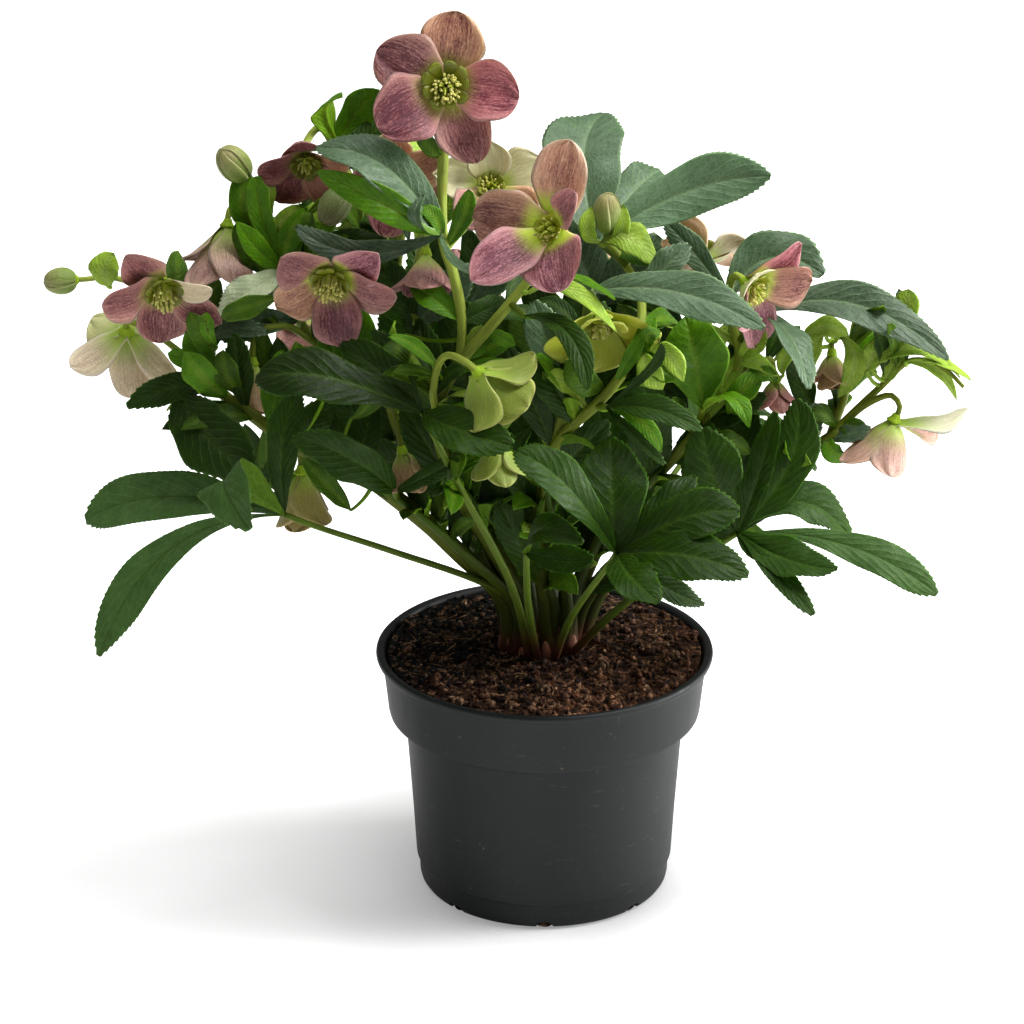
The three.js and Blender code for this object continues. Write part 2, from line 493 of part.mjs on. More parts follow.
// A thin blade, thickest along its midrib, from base through mid to tip.
function blade({ base, mid, tip, width, faces, outline, thickness }, grow = 0) {
  const control = mid.clone().multiplyScalar(2).addScaledVector(base, -0.5).addScaledVector(tip, -0.5);
  const curve = new THREE.QuadraticBezierCurve3(base, control, tip);
  const level = new THREE.Vector3().crossVectors(faces, curve.getTangent(0.5));
  const rings = outline.map(([along, share], row) => {
    const middle = curve.getPoint(along);
    const tangent = curve.getTangent(along);
    const across = level.clone().addScaledVector(tangent, -level.dot(tangent)).normalize();
    const normal = new THREE.Vector3().crossVectors(tangent, across).normalize();
    if (row === 0) middle.addScaledVector(tangent, -grow);
    if (row === outline.length - 1) middle.addScaledVector(tangent, grow);
    const half = (width * share) / 2 + 2 * grow;
    const rise = (thickness / 2) * Math.max(share, 0.5) + grow;
    const edge = middle.clone().addScaledVector(normal, -rise);
    return [
      edge.clone().addScaledVector(across, half),
      middle.clone().addScaledVector(normal, rise),
      edge.clone().addScaledVector(across, -half),
    ];
  });
  return loft(rings);
}

// A ball with few faces, stretched to these radii.
function ball(at, radii, grow = 0, detail = 10) {
  const geometry = new THREE.SphereGeometry(1, detail, Math.round(detail * 0.6));
  geometry.scale(...radii.map((radius) => radius + grow));
  geometry.translate(...at);
  return solidOf(geometry);
}

// ---------------------------------------------------------------- the pieces

function potSolid() {
  const outside = [
    [0, 0], [BASE_RADIUS - 3.5, 0], [BASE_RADIUS - 0.6, 1.2], [BASE_RADIUS, 3.4],
    [BASE_RADIUS + 0.6, CREASE_Z - 0.5], [BASE_RADIUS + 1.2, CREASE_Z + 0.5],
    [BODY_TOP_RADIUS, COLLAR_Z - 0.6], [COLLAR_RADIUS - 1.4, COLLAR_Z + 0.6],
    [COLLAR_RADIUS, COLLAR_Z + 2.6], [RIM_RADIUS - 2.8, POT_HEIGHT - 3.8],
    [RIM_RADIUS, POT_HEIGHT - 2.4], [RIM_RADIUS, POT_HEIGHT - 0.4],
  ];
  const inside = [
    [RIM_RADIUS - 2.4, POT_HEIGHT], [RIM_RADIUS - 4.4, POT_HEIGHT - 3.6],
    [COLLAR_RADIUS - WALL, COLLAR_Z + 3], [BODY_TOP_RADIUS - 0.4, COLLAR_Z + WALL],
    [BODY_TOP_RADIUS - WALL, COLLAR_Z + 0.2], [BASE_RADIUS - WALL, 4],
    [BASE_RADIUS - 3.8, FLOOR], [0, FLOOR],
  ];
  const profile = [...outside, ...inside].map(([radius, z]) => new THREE.Vector2(radius, z));
  const body = solidOf(new THREE.LatheGeometry(profile, POT_SIDES).rotateX(Math.PI / 2));
  const holes = Array.from({ length: DRAIN_HOLES }, (_, i) => {
    const angle = ((i + 0.5) / DRAIN_HOLES) * 2 * Math.PI + Math.PI / DRAIN_HOLES;
    const hole = new THREE.CylinderGeometry(DRAIN_RADIUS, DRAIN_RADIUS, 2 * DRAIN_HEIGHT, 8);
    hole.rotateX(Math.PI / 2);
    hole.translate(DRAIN_RING * Math.cos(angle), DRAIN_RING * Math.sin(angle), 0);
    return solidOf(hole);
  });
  return holes.reduce((pot, hole) => pot.subtract(hole), body);
}

function soilSolid() {
  const clear = GAP + 0.1;
  const profile = [
    [0, FLOOR + GAP], [BASE_RADIUS - 4.2, FLOOR + GAP], [BASE_RADIUS - WALL - clear, 4.3],
    [BODY_TOP_RADIUS - WALL - clear, COLLAR_Z + 0.5], [BODY_TOP_RADIUS - 0.9, COLLAR_Z + 2.1],
    [COLLAR_RADIUS - WALL - clear, COLLAR_Z + 3.5], [RIM_RADIUS - 5, SOIL_EDGE_Z],
    [44, SOIL_EDGE_Z + 1.2], [24, SOIL_EDGE_Z + SOIL_MOUND], [0, SOIL_EDGE_Z + SOIL_MOUND],
  ].map(([radius, z]) => new THREE.Vector2(radius, z));
  return solidOf(new THREE.LatheGeometry(profile, POT_SIDES).rotateX(Math.PI / 2));
}

const crownSolid = (grow) => ball(CROWN_AT, CROWN_RADII, grow, 12);

// The last points of a branch: behind what it carries, then just inside its back.
function seat(name) {
  const carried = FLOWERS[name] ?? BUDS[name];
  const depth = carried.reach ?? RECEPTACLE;
  const forward = vector(carried.axis).normalize();
  return [depth + SEAT_APPROACH, depth - SEAT_DEPTH]
    .map((back) => vector(carried.at).addScaledVector(forward, -back).toArray());
}

const leafBlade = (base, mid, { tip, width, faces }, grow) => blade({
  base,
  mid,
  tip: vector(tip),
  width,
  faces: vector(faces),
  outline: LEAF_OUTLINE,
  thickness: LEAF_THICKNESS,
}, grow);

// A stem with its branches and its leaves, which bow to the side that they face.
function stemSolid(name, grow) {
  const tubes = STEMS[name].map(({ points, from, to, carries }) => {
    const route = carries ? [...points, ...seat(carries)] : points;
    return tube(route, from, to, grow);
  });
  const leaves = STEM_LEAVES[name].map((spec) => {
    const base = vector(spec.from);
    const tip = vector(spec.tip);
    const bow = vector(spec.faces).setLength(LEAF_BOW * base.distanceTo(tip));
    return leafBlade(base, base.clone().lerp(tip, 0.5).add(bow), spec, grow);
  });
  return [...tubes, ...leaves].reduce((stem, part) => stem.add(part));
}

function leafSolid({ stalk, leaflets }, grow) {
  const base = vector(stalk[stalk.length - 1]);
  const parts = leaflets.map((spec) => leafBlade(
    spec.from ? vector(spec.from) : base.clone(),
    vector(spec.mid),
    spec,
    grow,
  ));
  const knot = solidOf(new THREE.OctahedronGeometry(KNOT_RADIUS + grow).translate(...base));
  return [knot, ...parts].reduce(
    (joined, part) => joined.add(part),
    tube(stalk, PETIOLE_RADIUS, PETIOLE_RADIUS, grow),
  );
}

// The flower's own directions: right and up, as seen by someone it looks at.
function flowerAxes(axis) {
  const forward = vector(axis).normalize();
  const right = new THREE.Vector3().crossVectors(vector(UP), forward).normalize();
  return { forward, right, up: new THREE.Vector3().crossVectors(forward, right) };
}

// The open flower is one lobed bowl, skinned from the back of its heart round the rim of the
// sepals and in to the eye, the tuft of nectaries and stamens at its middle.
function flowerSolid({ at, axis, radius, cup, turn }, grow) {
  const { forward, right, up } = flowerAxes(axis);
  const heart = vector(at);
  const half = SEPAL_THICKNESS / 2 + grow;
  const rim = radius + grow;
  const count = SEPALS * LOBE_OUTLINE.length;
  // lobed is the reach of the sepals, lift the height over them, level how far the cup applies.
  const ring = (reach, lift, level) => Array.from({ length: count }, (_, i) => {
    const angle = THREE.MathUtils.degToRad(turn + (i * 360) / count);
    const rise = THREE.MathUtils.degToRad(cup * level);
    const lobed = level ? reach * LOBE_OUTLINE[i % LOBE_OUTLINE.length] : reach;
    const outward = right.clone().multiplyScalar(Math.cos(angle))
      .addScaledVector(up, Math.sin(angle));
    return heart.clone()
      .addScaledVector(outward, lobed * Math.cos(rise) - lift * Math.sin(rise))
      .addScaledVector(forward, lobed * Math.sin(rise) + lift * Math.cos(rise));
  });
  const eye = radius * EYE_RATIO + grow;
  return loft([
    ring(radius * 0.12 + 0.6 + grow, -RECEPTACLE - grow, 0), ring(radius * 0.3 + grow, -half, 0),
    ring(radius * 0.58, -half, 0.8), ring(rim, -half, 1), ring(rim, half, 1),
    ring(radius * 0.58, half, 0.8), ring(eye, half + 0.4, 0),
    ring(eye * 0.8, radius * EYE_DEPTH + grow, 0),
  ]);
}

function budSolid({ at, axis, radius, reach }, grow) {
  const geometry = new THREE.SphereGeometry(1, 8, 6);
  geometry.scale(radius + grow, reach + grow, radius + grow);
  const turn = new THREE.Quaternion().setFromUnitVectors(
    new THREE.Vector3(0, 1, 0),
    vector(axis).normalize(),
  );
  geometry.applyQuaternion(turn).translate(...at);
  return solidOf(geometry);
}

// ---------------------------------------------------------------- the assembly

const group = new THREE.Group();
const placed = []; // { room, box }: each piece with its clearance, in growing order

const apart = (a, b) => [0, 1, 2].some((i) => a.min[i] > b.max[i] || b.min[i] > a.max[i]);

// Adds a piece, trimmed to clear the pieces that were there before it.
// shape(grow) gives its solid, larger all round by grow.
function add(name, finish, shape) {
  let solid = shape(0);
  const box = solid.boundingBox();
  placed
    .filter((other) => !apart(other.box, box))
    .forEach((other) => { solid = solid.subtract(other.room); });
  const largest = solid.decompose().sort((a, b) => b.volume() - a.volume())[0];
  const whole = largest.asOriginal().simplify(SMOOTHING);
  const room = shape(GAP);
  placed.push({ room, box: room.boundingBox() });
  const material = new THREE.MeshStandardMaterial({ metalness: 0, side: THREE.DoubleSide, ...finish });
  const mesh = new THREE.Mesh(geometryOf(whole), material);
  mesh.name = name;
  group.add(mesh);
}

add('pot', SLATE, potSolid);
placed.pop(); // the soil's own outline already clears the pot
add('crown', RHIZOME, crownSolid);
add('soil', PEAT, soilSolid);
Object.keys(STEMS).forEach((name) => {
  add(name, STEM_GREEN, (grow) => stemSolid(name, grow));
});
Object.entries(FLOWERS).forEach(([name, spec]) => {
  add(name, spec.finish, (grow) => flowerSolid(spec, grow));
});
Object.entries(BUDS).forEach(([name, spec]) => {
  add(name, LIME, (grow) => budSolid(spec, grow));
});
Object.entries(LEAVES).forEach(([name, spec]) => {
  add(name, spec.finish, (grow) => leafSolid(spec, grow));
});

export default group;
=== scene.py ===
"""The looks of a hellebore in flower, in its moulded plastic nursery pot."""
import math

import bpy
import numpy as np
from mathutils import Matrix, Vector, noise


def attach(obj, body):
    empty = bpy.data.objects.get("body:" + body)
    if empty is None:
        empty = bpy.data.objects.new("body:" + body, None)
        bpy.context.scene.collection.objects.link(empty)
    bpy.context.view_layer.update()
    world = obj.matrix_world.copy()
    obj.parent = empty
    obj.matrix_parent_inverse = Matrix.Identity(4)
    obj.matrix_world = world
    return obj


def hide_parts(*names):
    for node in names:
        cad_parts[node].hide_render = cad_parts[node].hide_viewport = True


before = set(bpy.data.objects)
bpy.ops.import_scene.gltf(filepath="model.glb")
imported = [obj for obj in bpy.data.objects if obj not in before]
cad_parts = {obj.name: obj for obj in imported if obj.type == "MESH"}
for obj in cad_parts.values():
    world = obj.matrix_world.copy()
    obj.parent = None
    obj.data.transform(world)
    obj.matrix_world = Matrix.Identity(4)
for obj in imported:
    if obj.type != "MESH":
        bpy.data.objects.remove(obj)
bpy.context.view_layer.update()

MM = 0.001

# The ways that leaves face.
UP = (0, 0, 1)
FRONT = (0, -1, 0.25)
FRONT_UP = (0, -1, 1)
LOW_FRONT = (0, -1, -0.35)
LEFT_UP = (-1, -1, 1)
RIGHT_UP = (1, -1, 1)

# The camera, in millimetres and degrees, and the picture it gives, in pixels each way.
CAMERA_AT = (-13.5, -1369.9, 718.5)
CAMERA_TILT = 22
LENS, SENSOR = 126.95, 36
PICTURE = 1024
# Its focal length in pixels, and the cosine and sine of its tilt, to four digits.
FOCAL = 3611.0
LEVEL, DIP = 0.9272, 0.3746


# ------------------------------------------------------------------ colours

def srgb(r, g, b):
    """A colour given as 0-255 screen values, in linear light."""
    values = np.array([r, g, b], float) / 255
    return np.where(values <= 0.04045, values / 12.92, ((values + 0.055) / 1.055) ** 2.4)


def leaf_look(slot, top, rib, under):
    """A leaf's colours: its upper side, its ribs and margin, and its underside."""
    return {"slot": slot, "top": srgb(*top), "rib": srgb(*rib), "under": srgb(*under)}


def sepal_look(slot, throat, body, edge, back, blush):
    """A sepal's colours from its foot to its edge and on its back, and how strong its red veins are."""
    return {"slot": slot, "throat": srgb(*throat), "body": srgb(*body), "edge": srgb(*edge),
            "back": srgb(*back), "blush": blush}


def changed(look, blush=None, **colours):
    """A sepal's look with some of its colours changed, in the same slot."""
    strength = {} if blush is None else {"blush": blush}
    return {**look, **{part: srgb(*colour) for part, colour in colours.items()}, **strength}


DARK_LEAF = leaf_look("dark_leaf", (36, 62, 3), (84, 114, 38), (72, 102, 12))
MID_LEAF = leaf_look("dark_leaf", (60, 90, 3), (120, 148, 40), (88, 118, 14))
CREAM_LEAF = leaf_look("bright_leaf", (188, 196, 160), (206, 210, 180), (120, 150, 70))
# The lime bracts: their own pale green, lightened with painted light that stands for light shining through
# them.
LIME_BRACT = leaf_look("bright_leaf", (142, 170, 54), (178, 196, 110), (140, 168, 60))
# The upper leaves' bluish grey: partly their own colour, partly a painted sheen of the light on their tops.
BLUE_LEAF = leaf_look("blue_leaf", (64, 88, 58), (140, 164, 120), (92, 124, 44))
BRIGHT_LEAF = leaf_look("bright_leaf", (74, 118, 4), (150, 178, 56), (112, 152, 26))

MAUVE = sepal_look("mauve_sepal", (168, 170, 66), (172, 112, 106), (194, 152, 136), (158, 112, 98), 1.0)
PINK = sepal_look("pink_sepal", (182, 178, 84), (206, 124, 126), (206, 140, 138), (186, 128, 116), 0.85)
TAN = sepal_look("tan_sepal", (172, 178, 66), (200, 150, 112), (206, 172, 132), (176, 146, 98), 0.6)
LIME = sepal_look("lime_sepal", (112, 130, 14), (128, 142, 28), (170, 174, 84), (122, 142, 34), 0.2)
PALE = sepal_look("pale_sepal", (160, 176, 62), (208, 194, 158), (222, 210, 184), (208, 198, 158), 0.45)
# Looks of single sepals and flowers, in the same slots.
WINE = changed(MAUVE, body=(164, 98, 100), edge=(184, 132, 122))
ROSE = changed(MAUVE, body=(190, 128, 132), edge=(206, 154, 154))
UMBER = changed(MAUVE, body=(166, 120, 90), edge=(190, 152, 122))
DUSK = changed(PINK, 1.0, body=(184, 128, 104), edge=(206, 164, 136))
CREAM = changed(PALE, body=(186, 184, 138), edge=(206, 200, 162), back=(176, 180, 120))
IVORY = changed(PALE, body=(226, 224, 200), edge=(232, 230, 214), back=(222, 222, 192))
BLUSH = changed(PALE, 0.5, body=(222, 196, 170), edge=(230, 214, 194), back=(222, 208, 176))
FADED = changed(PALE, 0.5, body=(196, 156, 140), edge=(214, 184, 166), back=(196, 160, 140))
PEACH = changed(TAN, 0.35, body=(230, 182, 146), edge=(238, 208, 180), back=(232, 190, 152))
OLIVE = changed(TAN, 0.3, body=(168, 138, 84), edge=(170, 146, 100), back=(150, 140, 66))
# A lighter copy of the lime look for the bell, which hangs in shade: partly its own lemon-lime, partly
# painted light.
LIT_LEMON = changed(LIME, 0.04, throat=(150, 164, 14), body=(176, 186, 30), edge=(196, 204, 90),
                back=(160, 176, 36))
LIT_FOOT_PAINT = srgb(190, 214, 50)  # painted light: a bright lime foot for a sepal that stands in the light

STEM_GREEN = srgb(80, 90, 8)
STEM_PALE = srgb(156, 170, 74)
STEM_RED = srgb(76, 34, 28)
PETIOLE_GREEN = srgb(78, 92, 12)
HEART_GREEN = srgb(140, 168, 36)
NECTARY_GREEN = srgb(112, 118, 10)
STAMEN_CREAM = srgb(216, 212, 122)
CARPEL_GREEN = srgb(176, 190, 60)
BUD_FOOT, BUD_TIP = srgb(106, 132, 34), srgb(150, 160, 80)
BUD_EDGE, BUD_FLUSH = srgb(178, 182, 118), srgb(196, 150, 130)
PEAT_BLACK, PEAT_BROWN, PEAT_RED = srgb(9, 7, 6), srgb(80, 50, 33), srgb(134, 84, 54)
GRIT = srgb(176, 140, 106)
COIR_DARK, COIR_LIGHT = srgb(136, 92, 60), srgb(214, 172, 128)
CROWN_DARK, CROWN_LIGHT = srgb(46, 26, 20), srgb(98, 60, 44)
SHEATH_RED, SHEATH_TAN = srgb(88, 40, 34), srgb(150, 96, 70)
POT_TINT = srgb(62, 68, 71)
PLASTIC, WORN_PLASTIC = srgb(8, 12, 13), srgb(17, 22, 23)
SCUFF_GREY, DUST = srgb(120, 124, 122), srgb(126, 112, 92)


# ------------------------------------------------------------------ the plant's layout, in millimetres

def branch(points, thick, thin, carries=None):
    """A length of stem through these points, thinning from one radius to the other."""
    return {"points": points, "thick": thick, "thin": thin, "carries": carries}


def leaflet(mid, tip, width, faces, start=None):
    """A blade through mid to tip, with its greatest width, from its leaf's joint or from start."""
    return {"mid": mid, "tip": tip, "width": width, "faces": faces, "start": start}


def leaf(finish, stalk, leaflets):
    """A leaf: its stalk, whose last point is the joint of the leaflets, and the leaflets."""
    return {"finish": finish, "stalk": stalk, "leaflets": leaflets}


def flower(at, axis, radius, cup, turn, finish):
    """A flower at its middle, looking along axis, its sepals rising by cup degrees."""
    return {"at": at, "axis": axis, "radius": radius, "cup": cup, "turn": turn, "finish": finish}


def bud(at, axis, radius, reach):
    """A closed bud: its middle, the direction of its tip, its radius and half its length."""
    return {"at": at, "axis": axis, "radius": radius, "reach": reach}


# Each stem: its main branch from the crown up, then its side branches.
STEMS = {
    "stem_front_tall": [
        branch([[-7, -6, 103], [-9, -10, 129], [-22, -20, 159], [-37, -32, 192], [-43, -41, 225],
            [-33, -48, 248], [-23, -50, 261], [-6, -50, 283]], 3.8, 1.6, "flower_front"),
        branch([[-34, -48, 246], [-33, -47, 264], [-36, -44, 281], [-40, -42, 295], [-40, -34, 328]],
            1.9, 2.2, "flower_top"),
        branch([[-39, -42, 292], [-32, -32, 297], [-25, -14, 297]], 1.8, 1.4, "flower_upright"),
        branch([[-42, -40, 218], [-44, -58, 240], [-38, -76, 260]], 1.6, 1.3, "flower_lime"),
        branch([[-37, -32, 190], [-31, -60, 220], [-22, -80, 238]], 1.6, 1.2, "flower_globe"),
    ],
    "stem_centre": [
        branch([[2, -8, 103], [0, -13, 128], [-3, -25, 172], [3, -35, 207], [20, -50, 231], [26, -52, 239],
            [34, -46, 250], [37, -25, 266], [28, -12, 280]], 3.3, 1.4, "bud_centre"),
        branch([[3, -35, 205], [8, -37, 229], [14, -30, 252], [17, -32, 268]], 2.2, 1.5, "flower_bell"),
    ],
    "stem_right": [
        branch([[9, -4, 103], [14, 1, 128], [28, 0, 162], [50, -8, 190], [62, -12, 207], [70, -12, 222],
            [77, -12, 235], [72, -8, 258]], 3.2, 1.5, "flower_right"),
        branch([[71, -12, 224], [67, 2, 240], [63, 8, 253]], 1.7, 1.3, "flower_peach"),
        branch([[64, -12, 211], [78, -8, 229], [90, -5, 233]], 1.5, 1.2, "flower_right_small"),
    ],
    "stem_far_right": [
        branch([[14, 3, 103], [24, 6, 128], [50, -2, 158], [80, -10, 178], [106, -15, 198],
            [118, -15, 206]], 3, 2.2),
        branch([[112, -15, 202], [128, -14, 217], [138, -17, 222]], 1.6, 1.1, "flower_far_right"),
        branch([[114, -15, 204], [121, -4, 220], [121, 2, 240]], 1.6, 1.3, "flower_right_bracts"),
        branch([[113, -15, 203], [134, -12, 224], [146, -14, 236], [158, -18, 234], [166, -21, 227]],
            1.7, 0.8),
    ],
    "stem_left_tall": [
        branch([[-9, 3, 103], [-12, 6, 128], [-35, 12, 157], [-59, 10, 193], [-83, 8, 224], [-99, 5, 246],
            [-104, 5, 271], [-111, 3, 285], [-113, 4, 300]], 3.6, 1.2, "bud_left"),
        branch([[-104, 5, 264], [-113, 8, 283], [-124, 11, 292]], 1.5, 1.2, "flower_pale_side"),
        branch([[-99, 5, 244], [-92, -12, 274], [-83, -30, 288]], 1.6, 1.4, "flower_left"),
        branch([[-93, 6, 236], [-104, -2, 246], [-115, -9, 246]], 1.4, 1.1, "flower_cream"),
        branch([[-60, 10, 194], [-63, -8, 214], [-59, -25, 216]], 1.4, 1.1, "flower_brown"),
    ],
    "stem_low_left": [
        branch([[-13, -3, 103], [-16, -7, 128], [-36, -21, 157], [-56, -30, 180], [-75, -33, 195],
            [-99, -33, 207], [-119, -26, 219], [-130, -20, 226], [-135, -11, 242], [-148, -12, 262]],
            4.6, 1.3, "flower_far_left"),
        branch([[-129, -21, 225], [-144, -12, 237], [-160, -6, 247]], 1.5, 1.2, "flower_pale_left"),
        branch([[-135, -12, 240], [-156, -6, 261], [-172, -15, 271]], 1.3, 1, "bud_far_left"),
        branch([[-90, -33, 202], [-97, -24, 203]], 1.4, 1.1, "flower_low_left"),
    ],
    "stem_back_left": [
        branch([[-4, 6, 103], [-8, 14, 135], [-30, 22, 185], [-52, 20, 240], [-66, 15, 280], [-80, 16, 306],
            [-90, 20, 322]], 3, 1.4, "flower_dark_nodding"),
        branch([[-60, 17, 262], [-57, 14, 290]], 1.7, 1.4, "flower_behind_leaf"),
        branch([[-55, 19, 248], [-50, 2, 278], [-47, -16, 292]], 1.6, 1.2, "flower_inner"),
        branch([[-68, 14, 283], [-73, 4, 300]], 1.4, 1.1, "bud_behind_leaf"),
    ],
    "stem_back_right": [
        branch([[6, 7, 103], [10, 18, 135], [20, 40, 190], [24, 56, 236]], 2.8, 1.3, "flower_back_right"),
    ],
    "stem_back_centre": [
        branch([[-2, 9, 103], [-6, 26, 140], [-20, 54, 190], [-34, 74, 224]],
            2.8, 1.3, "flower_back_centre"),
        branch([[-12, 40, 165], [-50, 52, 208], [-76, 52, 228]], 1.8, 1.2, "flower_back_left"),
    ],
}

